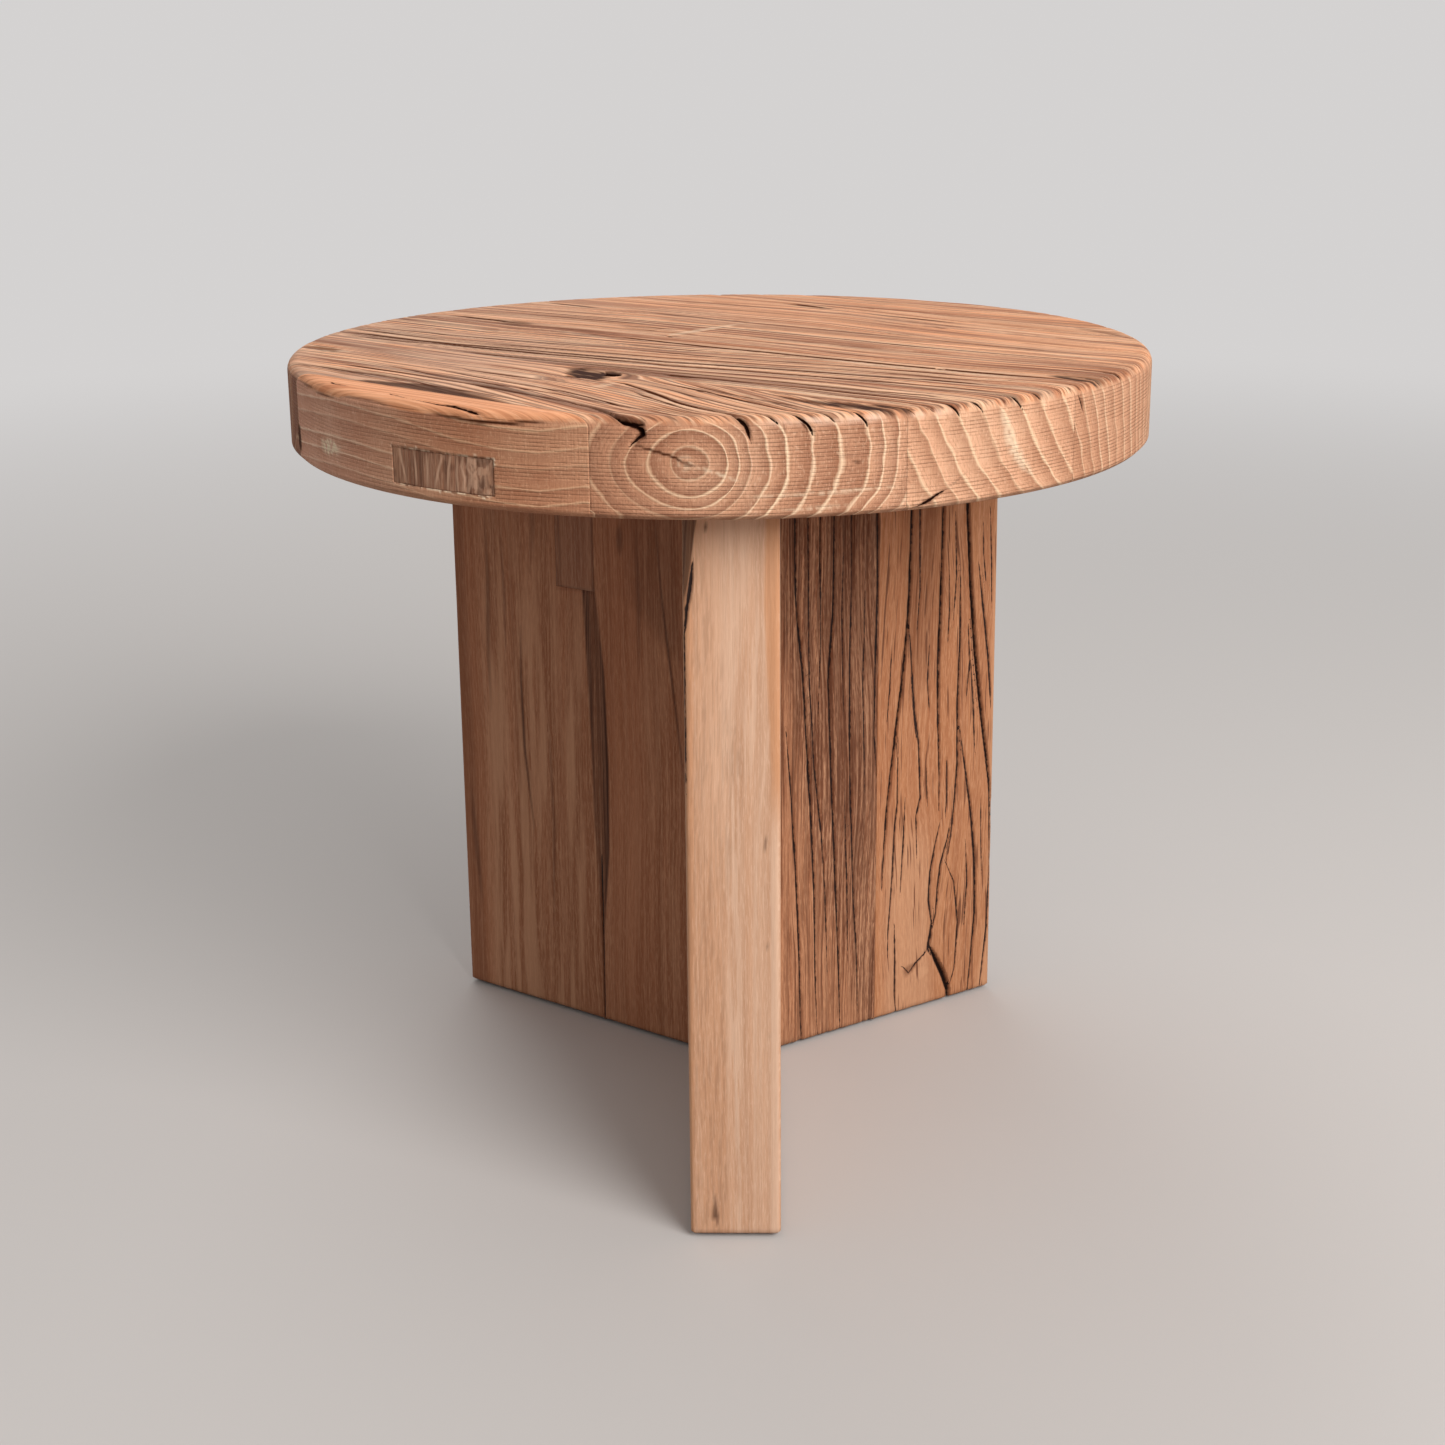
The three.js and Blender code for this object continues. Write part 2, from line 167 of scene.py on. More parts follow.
def fall(low, high, value):
    return 1 - rise(low, high, value)


def largest(*values):
    return reduce(np.maximum, values)


def crack_field(x, y, lines, margin=1.2 * MM):
    """Signed distance to the nearest crack and its half width there, both in millimetres, and its depth.
    Each line is (widest, depth, points). A crack narrows to nothing at both ends."""
    nearest = np.full_like(x, 50 * MM)
    side = np.full_like(x, 50 * MM)
    half = np.zeros_like(x)
    depth = np.zeros_like(x)
    for widest, deep, points in lines:
        lengths = [math.dist(a, b) for a, b in zip(points, points[1:])]
        whole = sum(lengths)
        done = 0
        for (ax, ay), (bx, by), length in zip(points, points[1:], lengths):
            dx, dy = (bx - ax) / length, (by - ay) / length
            along = np.clip((x - ax) * dx + (y - ay) * dy, 0, length)
            off_x, off_y = x - ax - along * dx, y - ay - along * dy
            away = np.hypot(off_x, off_y)
            taper = np.sin(np.pi * np.clip((done + along) / whole, 0.02, 0.98)) ** 0.5
            width = widest / 2 * taper
            closer = away - width < nearest
            nearest = np.where(closer, away - width, nearest)
            side = np.where(closer, np.copysign(away, dx * off_y - dy * off_x), side)
            half = np.where(closer, width, half)
            valley = 1 - smooth(0.2, 1, away / (np.maximum(width, 0.9 * MM) * 1.3))
            depth = np.maximum(depth, valley * deep * taper)
            done += length
    half = np.where(nearest < margin, half, 0)
    return side / MM, half / MM, depth


def between(x, z, left, right, soft=1.5):
    """Inside a band, 0 to 1. Each of its two edges is one reach, or points of (height, reach)
    going up, in millimetres."""
    low, high = [np.interp(z / MM, *zip(*edge)) if isinstance(edge, list) else edge for edge in (left, right)]
    return smooth(-soft, soft, x / MM - low) * smooth(-soft, soft, high - x / MM)


# A closed piece from a wrapped grid: columns go round it, rows go along it
def wrapped_piece(name, points, attributes, turn, material, subparts):
    rows, columns = points.shape[0] - 1, points.shape[1] - 1
    shape = bmesh.new()
    bmesh.ops.create_grid(shape, x_segments=columns, y_segments=rows, size=0.5)
    mesh = bpy.data.meshes.new(name)
    shape.to_mesh(mesh)
    shape.free()
    start = np.empty(len(mesh.vertices) * 3)
    mesh.vertices.foreach_get("co", start)
    start = start.reshape(-1, 3)
    column = np.rint((start[:, 0] + 0.5) * columns).astype(int)
    row = np.rint((start[:, 1] + 0.5) * rows).astype(int)
    placed = points[row, column] @ np.array(turn.to_3x3().transposed()) + np.array(turn.translation)
    mesh.vertices.foreach_set("co", placed.astype(np.float32).ravel())
    for label, values in attributes.items():
        kind = "FLOAT_VECTOR" if values.ndim == 3 else "FLOAT"
        layer = mesh.attributes.new(label, kind, "POINT")
        field = "vector" if values.ndim == 3 else "value"
        layer.data.foreach_set(field, values[row, column].astype(np.float32).ravel())
    shape = bmesh.new()
    shape.from_mesh(mesh)
    bmesh.ops.remove_doubles(shape, verts=shape.verts, dist=0.01 * MM)
    open_edges = [edge for edge in shape.edges if edge.is_boundary]
    bmesh.ops.holes_fill(shape, edges=open_edges, sides=0)
    bmesh.ops.recalc_face_normals(shape, faces=shape.faces)
    for face in shape.faces:
        face.smooth = len(face.verts) < 5
    shape.to_mesh(mesh)
    shape.free()
    mesh.materials.append(material)
    piece = bpy.data.objects.new(name, mesh)
    bpy.context.scene.collection.objects.link(piece)
    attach(piece, "root")
    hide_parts(*subparts)
    return piece


# Boards of the top, as glue lines across the grain
def board_edges():
    wide = (2 * RADIUS - FIRST_BOARD - LAST_BOARD) / WIDE_BOARDS
    lines = [FIRST_BOARD - RADIUS + board * wide for board in range(WIDE_BOARDS + 1)]
    starts = [-RADIUS] + [line + GLUE_GAP / 2 for line in lines]
    ends = [line - GLUE_GAP / 2 for line in lines] + [RADIUS]
    return list(zip(starts, ends))


# Columns round one slice of the top: flat, roundover, rim, arris, underside and back
FLAT_COLUMNS = 220
ROUND_COLUMNS = 6
RIM_ROWS = (15, 17, 5)
UNDER_COLUMNS = 24


def rim_heights():
    """Heights down the rim, with a pair at each edge of the recess so that it is cut clean."""
    high, low = PATCH_MIDDLE + PATCH_HALF_HEIGHT + GLUE_GAP, PATCH_MIDDLE - PATCH_HALF_HEIGHT - GLUE_GAP
    upper, middle, lower = RIM_ROWS
    return np.concatenate([np.linspace(TOP - ROUNDOVER, high + HAIR, upper)[1:],
                           np.linspace(high - HAIR, low + HAIR, middle),
                           np.linspace(low - HAIR, UNDER + ARRIS, lower)])


def top_slices(low, high):
    first, last = math.asin(low / RADIUS), math.asin(high / RADIUS)
    count = max(4, round((last - first) * RADIUS / RIM_STEP))
    across = RADIUS * np.sin(np.linspace(first, last, count + 1))
    flat = RADIUS - ROUNDOVER
    size = np.abs(across)
    top_turn = np.where(size < flat, math.pi / 2, np.arccos(np.clip((size - flat) / ROUNDOVER, -1, 1)))

    def half(radius):
        return np.sqrt(np.maximum(radius ** 2 - across ** 2, 0))

    right = []
    for step in range(ROUND_COLUMNS + 1):
        turn = top_turn * (1 - step / ROUND_COLUMNS)
        reach = flat + ROUNDOVER * np.cos(turn)
        height = TOP - ROUNDOVER + ROUNDOVER * np.sin(turn)
        right.append((half(reach), height, np.cos(turn), np.sin(turn)))
    ones, none = np.ones_like(across), np.zeros_like(across)
    for height in rim_heights():
        right.append((half(RADIUS), height * ones, ones, none))
    foot_reach = np.maximum(RADIUS - ARRIS, size)
    right.append((half(foot_reach), UNDER + foot_reach - (RADIUS - ARRIS), none, -ones))

    loop = []
    top_x, top_z = right[0][0], right[0][1]
    for step in range(1, FLAT_COLUMNS):
        share = step / FLAT_COLUMNS
        loop.append((top_x * (2 * share - 1), top_z, right[0][2], right[0][3]))
    loop += right
    foot_x, foot_z = right[-1][0], right[-1][1]
    for step in range(1, UNDER_COLUMNS):
        share = step / UNDER_COLUMNS
        loop.append((foot_x * (1 - 2 * share), foot_z, none, -ones))
    loop += [(-x, z, out, lift) for x, z, out, lift in reversed(right)]
    loop.append(loop[0])
    along = np.stack([item[0] for item in loop], axis=1)
    height = np.stack([item[1] * ones for item in loop], axis=1)
    outward = np.stack([item[2] * ones for item in loop], axis=1)
    upward = np.stack([item[3] * ones for item in loop], axis=1)
    return along, np.repeat(across[:, None], along.shape[1], axis=1), height, outward, upward


# How the grain runs from the front rim into each board: for distances behind the rim,
# how far across the boards the fibres have moved, in millimetres
FLOW = {
    1: [(0, 0), (500, 0)], 2: [(0, 0), (20, 2), (50, 12), (85, 24), (125, 36), (160, 42), (300, 46)],
    3: [(0, 0), (4, 1.6), (9, 3.2), (16, 4), (26, 3.4), (60, -1), (90, -3), (135, -10), (180, -20),
        (240, -30), (300, -38), (390, -46)],
    4: [(0, 0), (4, 1.4), (9, 2.7), (15, 3.2), (24, 2.6), (40, 0), (85, -6), (140, -9), (250, -12),
        (350, -16), (400, -22), (485, -32)],
    5: [(0, 0), (4, 1.4), (9, 2.7), (15, 3.2), (24, 2.6), (40, 0.4), (130, 3), (190, 10), (230, 16),
        (280, 15), (430, 5)],
    6: [(0, 0), (4, 1.2), (9, 2.4), (15, 3), (26, 2.6), (60, 0), (200, -5), (400, -3)],
}
FLOW_GAIN = {
    2: [(-215, 0.7), (-195, 0.75), (-170, 1)], 3: [(-90, 0.75), (-60, 1), (-15, 1.5)],
}

# Bare wane on the first board: height of its lower edge, and shade there, by degrees round the rim
WANE_LIP = [
    (-116, 447), (-113.1, 446.1), (-107.8, 444.8), (-102.8, 443.9), (-99.3, 446.6), (-96.6, 447.3),
    (-93.6, 447.1), (-91.7, 445.9), (-88.9, 445.2), (-83, 445.1), (-80.6, 444.8), (-78.3, 443.8),
    (-75.8, 443.8), (-73.1, 444.4), (-69.6, 446.1), (-66.9, 446.8), (-64, 447),
]
WANE_SHADE = [
    (-115, 0), (-112, 0.7), (-104, 0.7), (-101, 0.2), (-98.5, 0.6), (-92, 0.5), (-90, 0.1), (-85, 0.15),
    (-82.5, 0.75), (-78, 1), (-72, 1), (-68, 0.5), (-66, 0.1),
]

# Sunken weathered wedge of the second board beside the wane: along, across
WEDGE_TOP = [
    (-66, -226), (-55, -219), (-38, -214.5), (-20, -208), (0, -210.5), (30, -216.5), (52, -222.5),
    (62, -226),
]

# Knots of the top: centre, half sizes along and across. The grain runs round each one.
KNOTS = [(29, -131, 24, 11), (-5, -158, 46, 5), (-40, 1, 8, 2), (160, -9, 7, 2.5)]
KNOT_HEART = 0.36
KNOT_PUSH = 0.96
KNOT_FADE = 0.12

# Ring lines on the rim, in degrees round it and read from its top line down. Board 1 has them as
# heights and an arch over the degrees, and board 2 as distances out from the pith in millimetres.
DEGREE = RADIUS * math.pi / 180
STEEP = 0.9
RINGS_TOP = 447 * MM
RINGS_DEPTH = 45 * MM
PITH_ANGLE = -53.8
PITH_HEIGHT = 428.5 * MM
PITH_RINGS = [0, 9.2, 18.3, 24.5, 30, 38.8, 47.6, 60.2, 72.9, 88, 95.5, 103, 112, 123]
BOARD_1_LEVELS = [400, 408, 415.5, 423, 433.5, 441.5, 452]
BOARD_1_ARCH = [
    (-115, -3), (-110, -1), (-103, 1), (-98, 1), (-90, -1), (-85, -4), (-80, -8), (-75, -10),
    (-70, -10.5), (-65, -7),
]
BOARD_3_LINES = [-31, -28.2, -25.8, -23, -19.8, -17, -14, -10.7, -7, -3.6]
BOARD_4_LINES = [-6, -3.5, -1.2, 1.2, 4, 7, 9.7, 12.2, 14.2, 16.3, 18.9]
BOARD_5_LINES = [16, 19, 21.2, 24, 26.1, 29, 31.5, 33.2, 36.4, 39, 41.2, 44, 47]

# How far down the rim each ring line is split open at the top edge, from the first line on
NOTCHES = {
    2: [0, 0, 0, 0, 0, 1.5, 5, 11, 4, 8, 2, 3, 2, 2], 3: [3, 3.5, 3, 6.5, 5.5, 0, 7.5, 3.5, 2.5, 2],
    4: [2, 3, 2.5, 4, 3, 5.5, 3, 2.5, 3.5, 2.5, 2], 5: [2, 4, 2.5, 3, 5, 2, 3, 4.5, 2, 3, 3, 2, 3],
}

# Dark grooves in the top: width, darkness, points along and across the grain in millimetres
GROOVES = [
    (3, 0.6, [(-242, 29), (-200, 34), (-155, 39), (-110, 45), (-50, 50), (50, 52), (110, 53), (160, 56),
        (200, 61), (228, 66)]), (3, 0.5, [(-215, 22), (-165, 27), (-130, 29), (-100, 34), (-60, 38)]),
    (3.2, 0.6, [(-110, 21), (-75, 23), (-44, 26)]),
    (2.6, 0.3, [(-35, 27), (20, 28), (60, 27), (120, 28), (180, 33), (235, 43)]),
    (2.6, 0.35, [(-170, 4), (-120, 7), (-70, 10), (-45, 12), (0, 15), (60, 15), (130, 17)]),
    (2.6, 0.55, [(60, 3), (95, 3), (128, 4)]),
    (6, 0.55, [(-249, -11), (-210, -9), (-175, -9), (-140, -12)]),
    (4.6, 0.85, [(-76, -18), (-50, -20), (-20, -20), (20, -19), (60, -16), (110, -14), (150, -11),
        (165, -10), (200, -6), (225, -1), (249, -2)]),
    (5, 0.55, [(-238, 78), (-210, 78), (-180, 77), (-150, 78)]),
    (5, 0.3, [(-150, 79), (-100, 79), (0, 78), (100, 80), (200, 82)]),
    (3.4, 0.6, [(-58, -41), (-40, -42), (-10, -39), (15, -36), (40, -33)]),
    (2.6, 0.4, [(-238, -73), (-200, -67), (-170, -62), (-150, -57), (-130, -50)]),
    (3.2, 0.6, [(-238, -82), (-190, -79), (-150, -76), (-115, -71), (-80, -66), (-40, -58), (0, -53),
        (35, -48), (70, -42), (110, -33), (140, -27), (200, -19)]),
    (3, 0.6, [(-130, -92), (-90, -84), (-60, -79), (-30, -75), (10, -68), (50, -60), (80, -53),
        (120, -43), (145, -38), (180, -33), (225, -24)]),
    (3.2, 0.8, [(-236, -92), (-190, -93), (-160, -92), (-125, -93)]),
    (3.6, 0.9, [(-232, -105), (-190, -104), (-150, -104), (-120, -101), (-80, -94), (-60, -91),
        (-20, -87), (0, -83), (30, -79), (55, -71), (82, -65), (120, -57), (180, -43), (235, -37)]),
    (3, 0.85, [(-160, -110), (-110, -103), (-50, -97), (-10, -92), (5, -91), (35, -88), (60, -82),
        (90, -76), (125, -70), (155, -64), (200, -57), (240, -55)]),
    (4.2, 0.5, [(-222, -114), (-180, -113), (-145, -111), (-110, -107)]),
    (2.8, 0.6, [(-110, -121), (-60, -117), (-30, -114), (10, -109), (30, -107), (60, -103), (100, -96),
        (112, -95), (150, -91), (175, -89), (200, -84), (235, -84)]),
    (2.8, 0.7, [(30, -115), (58, -112), (75, -109), (100, -107), (140, -102), (180, -99), (215, -97),
        (232, -98)]), (2.4, 0.5, [(120, -110), (150, -110), (180, -109), (205, -107), (228, -109)]),
    (6, 0.9, [(52, -112), (66, -111), (82, -110)]),
    (2.2, 0.4, [(160, -70), (190, -68), (220, -66), (240, -69)]),
    (2.4, 0.5, [(64, -118), (80, -126), (100, -133), (130, -141), (160, -145), (200, -152)]),
    (2, 0.5, [(110, -122), (140, -128), (170, -132), (208, -139)]),
    (2, 0.4, [(130, -119), (160, -122), (190, -127), (215, -131)]),
    (2.4, 0.6, [(44, -122), (60, -131), (85, -136), (110, -141), (140, -150), (165, -156), (192, -162)]),
    (2, 0.5, [(60, -140), (90, -147), (120, -157), (150, -165), (185, -171)]),
    (3, 0.95, [(34, -145), (60, -147), (80, -155), (100, -164), (118, -173), (140, -179), (158, -182),
        (172, -183)]),
    (2.4, 0.55, [(56, -152), (75, -160), (92, -168), (112, -176), (135, -184), (160, -189)]),
    (2.2, 0.6, [(-78, -160), (-66, -169), (-45, -174), (0, -179), (50, -183), (90, -192), (104, -197),
        (123, -198), (134.5, -198), (145.3, -199.3)]),
    (2.4, 0.5, [(-104, -170), (-82, -181), (-40, -186), (0, -188), (50, -190), (80, -194), (110, -200)]),
    (3, 0.6, [(-130, -192), (-100, -192), (-50, -193), (0, -195), (40, -199), (75, -204), (100, -210),
        (118, -217)]),
    (2.6, 0.5, [(-150, -204), (-125, -205), (-90, -205), (-50, -206), (-15, -209), (30, -213),
        (70, -216)]), (2.6, 0.65, [(-62, -157), (-38, -164), (0, -164), (34, -163)]),
    (3, 0.8, [(-105, -226), (-60, -226), (0, -226), (60, -226), (112, -226)]),
    (3.2, 0.8, [(-90, 178), (-70, 173), (-45, 169), (-30, 170)]),
    (4.5, 0.5, [(-30, 168), (0, 160), (40, 157), (90, 154)]),
    (3.5, 0.35, [(-10, 142), (30, 132), (55, 126), (70, 121)]),
    (7, 0.3, [(50, 128), (66, 131), (84, 124)]), (5, 0.25, [(-95, 222), (-50, 221), (0, 219)]),
    (6, 0.25, [(-10, 207), (20, 207), (60, 208)]), (5, 0.25, [(150, 172), (170, 165), (196, 150)]),
]

# Patches on the top: middle, half sizes, lean in degrees, strength
PITS = [(33, -127, 10, 5, -38, 1), (20, -146, 7, 2.6, -15, 1), (-39.5, 0.5, 4.5, 1.8, -50, 1),
        (161, -9, 4, 2.2, -50, 1)]
FLAMES = [(-42, 32, 4.5, 42, 0, 1.1), (55, -157, 5, 9, 0, 0.7)]
SMEARS = [
    (22, -134, 24, 13, -30, 1.2), (31, -128, 13, 6, -30, 1.8), (188, -130, 34, 7, 4, 1.15),
    (165, -131, 22, 4, 2, 0.6), (207, -122, 14, 5, 0, 1.1), (238, 6, 20, 7, 0, 1.1),
    (130, -192, 22, 7, -6, 0.4), (162, 170, 26, 5, -20, 0.5), (-170, -160, 22, 7, -6, 0.6),
    (-165, -10, 22, 7, -6, 0.5), (-60, 169, 28, 3.5, -8, 0.7), (50, 143, 32, 4, -10, 0.45),
    (-80, -206, 60, 8, 2, 0.5), (20, -196, 40, 5, -6, 0.45),
]

# Cream strips in the top: width, strength, points
STRIPS = [
    (7, 0.9, [(-215, -62), (-180, -55), (-150, -49), (-130, -43), (-95, -38)]),
    (8, 0.8, [(60, -24), (100, -20), (150, -19), (200, -14), (238, -9)]),
    (3, 0.9, [(15, -92), (30, -93), (40, -94)]), (2.4, 0.7, [(30, -84), (50, -79)]),
    (5, 0.9, [(60, -115), (90, -115), (130, -114), (160, -116), (190, -112), (218, -104)]),
    (7, 0.6, [(160, 70), (200, 73), (240, 73)]), (4, 0.6, [(-45, -157), (-10, -155), (30, -156)]),
    (5, 0.6, [(45, -124), (66, -122), (80, -131), (100, -137)]),
    (9, 0.8, [(-172, -171), (-158, -163), (-140, -157)]),
    (6, 0.6, [(-134, -128), (-120, -128), (-108, -127)]),
    (10, 0.5, [(-205, -122), (-170, -122), (-140, -126)]),
    (7, 0.5, [(-150, -141), (-110, -146), (-60, -150)]),
    (7, 0.45, [(-150, -186), (-110, -180), (-60, -178)]), (6, 0.5, [(60, -165), (90, -174), (120, -186)]),
    (4, 0.5, [(-220, -99), (-160, -98), (-110, -97)]), (4, 0.5, [(150, 86), (190, 92), (240, 96)]),
    (16, 0.6, [(-245, -38), (-200, -40), (-165, -43), (-135, -34)]),
    (9, 0.5, [(-125, -24), (-100, -26), (-40, -32)]), (9, 0.5, [(-110, -46), (-70, -52), (-20, -48)]),
    (8, 0.45, [(-240, 8), (-190, 14), (-140, 18)]),
    (7, 0.45, [(-235, 52), (-190, 55), (-120, 60), (-60, 62)]),
    (6, 0.5, [(-222, -88), (-180, -86), (-130, -84)]),
]

# Cracks drawn as (widest, depth, points) in millimetres. On the rim a point is (degrees, height).
HEART_TOP = [
    (3.2, 5, [(80, -204), (93.7, -207.4), (104.1, -210.4), (116.2, -215.4), (122.9, -215.8),
        (126.8, -214.9), (131.2, -212.7), (134, -217), (140, -226)]),
    (2.2, 2.5, [(134, -177), (145.6, -178.7), (157.8, -182.1), (163.6, -183.6), (166.8, -183.8),
        (169.2, -183.6), (172, -187), (178, -193)]),
]
SLIVER_CRACKS = [
    (1, 1, [(22, -245), (30, -244.2), (38, -243.6), (50, -243.3), (58, -243)]),
    (1, 0.6, [(30, -242.4), (36, -243), (44, -243.4)]),
    (1, 0.6, [(-12, -241), (-5, -242.5), (2, -243.5)]),
    (1, 0.6, [(-66, -236), (-58, -237.4), (-50, -238)]),
]
RIM_CRACKS = [
    (3, 4, [(-66, 455), (-62, 450.6), (-60.3, 448), (-59.4, 446.2), (-58.9, 444.9), (-58.3, 443.4),
        (-58.2, 441.6), (-58.8, 439.5), (-59.5, 436.8)]),
    (2.2, 2, [(-50, 455), (-48.3, 449.6), (-47.8, 448.2), (-47.3, 445.8), (-47.1, 442.8),
        (-46.8, 438.4)]), (1.5, 1, [(-28.2, 402.5), (-26.8, 405), (-25.2, 408.6), (-24.8, 409.2)]),
    (1, 1, [(-4.2, 447), (-3.4, 441), (-2.9, 436)]),
]

# Brown hairlines, a small eye and cream hairlines on the rim, with a strength for the depth
RIM_LINES = [
    (1.4, 0.6, [(-59.6, 437.6), (-58.4, 435.9), (-57.1, 434.2), (-55.5, 432.2), (-54.8, 431.1),
        (-53.6, 427.6), (-52.8, 426.8)]), (2.2, 0.45, [(-54.2, 429), (-53, 427.6), (-52.6, 427)]),
    (1.1, 0.3, [(-25, 409), (-23.5, 412.5), (-21.6, 417.8)]),
    (2.6, 0.4, [(-36, 427.4), (-35.1, 426.6), (-34.4, 427)]),
    (1.2, 0.25, [(-39, 428), (-37, 430), (-33, 429)]),
    (1.2, 0.25, [(-38, 425), (-36, 423), (-33, 424.6)]),
    (1, 0.3, [(-43.4, 448), (-43.2, 444), (-43, 441)]),
    (1.2, 0.5, [(-41.6, 448), (-41, 445), (-40.6, 442)]),
]
RIM_CREAM = [
    (1.2, 0.8, [(-52.7, 426.9), (-51.3, 425.1), (-49.6, 422.3), (-47.7, 419.5)]),
    (0.9, 0.7, [(-47, 412.5), (-38, 413), (-30, 414)]), (0.9, 0.5, [(-44, 405.5), (-36, 406.5)]),
    (8, 0.9, [(-17.5, 447), (-16.4, 438), (-15.6, 428), (-14, 418), (-12, 410)]),
]

# A pale line runs this far to each side of a groove: a painted highlight on the ridges beside it
GROOVE_HIGHLIGHT_SIDES = (-3.6 * MM, 3.4 * MM)

# Depth of the relief in the top
FIBRE_DEPTH = {1: 0.35 * MM, 2: 0.35 * MM, 3: 0.35 * MM, 4: 0.25 * MM, 5: 0.25 * MM, 6: 0.25 * MM}
GROOVE_DEPTH = 0.7 * MM
NOTCH_CUT = 1.6 * MM
PIT_DEPTH = 2 * MM
SMEAR_DEPTH = 0.4 * MM

# How strongly light and dark fibres differ on each board
FACE_CONTRAST = {1: 1, 2: 0.75, 3: 0.9, 4: 0.65, 5: 0.5, 6: 0.5}


def front_reach(across):
    return np.sqrt(np.maximum(RADIUS ** 2 - across ** 2, (0.05 * RADIUS) ** 2))


def scaled(lines, across_unit):
    """Crack lines in metres. The first number of each point is in the unit given."""
    return [(widest * MM, depth * MM, [(x * across_unit, y * MM) for x, y in points])
            for widest, depth, points in lines]


def finer(lines, share):
    return [(widest * share, depth, points) for widest, depth, points in lines]


def in_metres(pairs):
    return np.array(pairs)[:, 0] * MM, np.array(pairs)[:, 1] * MM


def grain_flow(number, along, across):
    """Where on the front rim the fibre through each point comes out, as a distance across."""
    level = across + 0
    for knot in KNOTS:
        knot_x, knot_y, long, wide = [size * MM for size in knot]
        dx, dy = along - knot_x, level - knot_y
        away = np.maximum((dx / long) ** 2 + (dy / wide) ** 2, KNOT_HEART)
        push = np.minimum(KNOT_PUSH / away, KNOT_PUSH) * np.exp(-KNOT_FADE * away)
        level = knot_y + dy * (1 - push)
    distances, moves = in_metres(FLOW[number])
    gain_at, gains = zip(*FLOW_GAIN.get(number, [(0, 1)]))
    level = level + 1.6 * MM * (grained(along, across, 45, 16, 12, 1, shift=30) - 0.5)
    level = level + 3 * MM * (grained(along, across, 120, 50, 11, 1, shift=20) - 0.5)
    start = level
    for _ in range(5):
        gain = np.interp(start / MM, gain_at, gains)
        start = level - gain * np.interp(front_reach(start) - along, distances, moves)
    return start


def numbered(value, lines):
    """The count of ring lines passed, with shares between them."""
    step = (lines[-1] - lines[0]) / (len(lines) - 1)
    before = np.minimum((value - lines[0]) / step, 0)
    after = np.maximum((value - lines[-1]) / step, 0)
    return np.interp(value, lines, range(len(lines))) + before + after


def board_rings(number, along, start, height):
    """Which ring line of its board each point lies on, with shares between the lines."""
    held = np.clip(start, -STEEP * RADIUS, STEEP * RADIUS)
    beyond = (start - held) / DEGREE / math.sqrt(1 - STEEP ** 2)
    degrees = np.degrees(np.arcsin(held / RADIUS)) + beyond
    degrees = degrees + 0.5 * (noise(height / (7 * MM), degrees / 3 + 60, 70 + number) - 0.5)
    low = np.clip((RINGS_TOP - height) / RINGS_DEPTH, -0.1, 1.1)
    if number == 1:
        arch = np.interp(np.degrees(np.arctan2(start, along)), *zip(*BOARD_1_ARCH))
        return numbered(height / MM - arch, BOARD_1_LEVELS)
    if number == 2:
        side, lift = (degrees - PITH_ANGLE) * DEGREE / MM, (height - PITH_HEIGHT) / MM
        rough = np.hypot(side, lift)
        narrow = np.where(side < 0, np.interp(rough, [12, 30], [1, 0.81]), 1)
        drop = np.where(lift < 0, np.interp(rough, [15, 40, 90], [1.12, 1.12, 1.85]), 1.15)
        return numbered(np.hypot(side * narrow, lift * drop), PITH_RINGS)
    if number == 3:
        shift = 4.7 * low + np.interp(degrees, [-28, -8], [0.6, 2.5]) * low ** 3
        return numbered(degrees - shift, BOARD_3_LINES)
    if number == 4:
        shift = np.interp(degrees, [-3, 10, 18], [4, 1.8, 1.2]) * low
        return numbered(degrees - shift, BOARD_4_LINES)
    if number == 5:
        return numbered(degrees + 3 * low ** 2, BOARD_5_LINES)
    return np.hypot(start / MM - 160, height / MM - 380) / 9.5


def drawn_lines(along, across, lines, seed, widen):
    """Strength, 0 to 1, of lines that run along the grain, broken up and wavering a little."""
    mask = np.zeros_like(along)
    wander = 1.2 * MM * (grained(along, across, 22, 30, seed, 1) - 0.5)
    broken = 0.45 + 0.75 * grained(along, across, 40, 1.8, seed + 1, 2)
    for widest, strength, points in lines:
        xs, ys = in_metres(points)
        taper = min(45 * MM, 0.4 * (xs[-1] - xs[0]))
        ends = smooth(xs[0] - 2 * MM, xs[0] + taper, along)
        ends = ends * (1 - smooth(xs[-1] - taper, xs[-1] + 2 * MM, along))
        away = np.abs(across + wander - np.interp(along, xs, ys))
        inside = 1 - smooth(0.15, 1, away / (widen * widest / 2 * MM * (0.25 + 0.75 * ends)))
        mask = np.maximum(mask, inside * ends * strength)
    return np.clip(1.4 * mask * broken, 0, 1)


def patch_of(along, across, centre, long, wide, lean, seed):
    """A soft-edged ragged oval, 0 to 1."""
    dx, dy = (along - centre[0] * MM) / MM, (across - centre[1] * MM) / MM
    turn = math.radians(lean)
    ahead = dx * math.cos(turn) + dy * math.sin(turn)
    aside = dy * math.cos(turn) - dx * math.sin(turn)
    ragged = 0.8 * (grained(along, across, 16, 4, seed) - 0.5)
    return 1 - smooth(0.6, 1.1, np.hypot(ahead / long, aside / wide) + ragged)


def patches_of(along, across, patches, seed, seed_step=0):
    """Several ragged ovals, each with its strength."""
    return largest(*[strength * patch_of(along, across, (x, y), long, wide, lean, seed + seed_step * index)
                     for index, (x, y, long, wide, lean, strength) in enumerate(patches)])


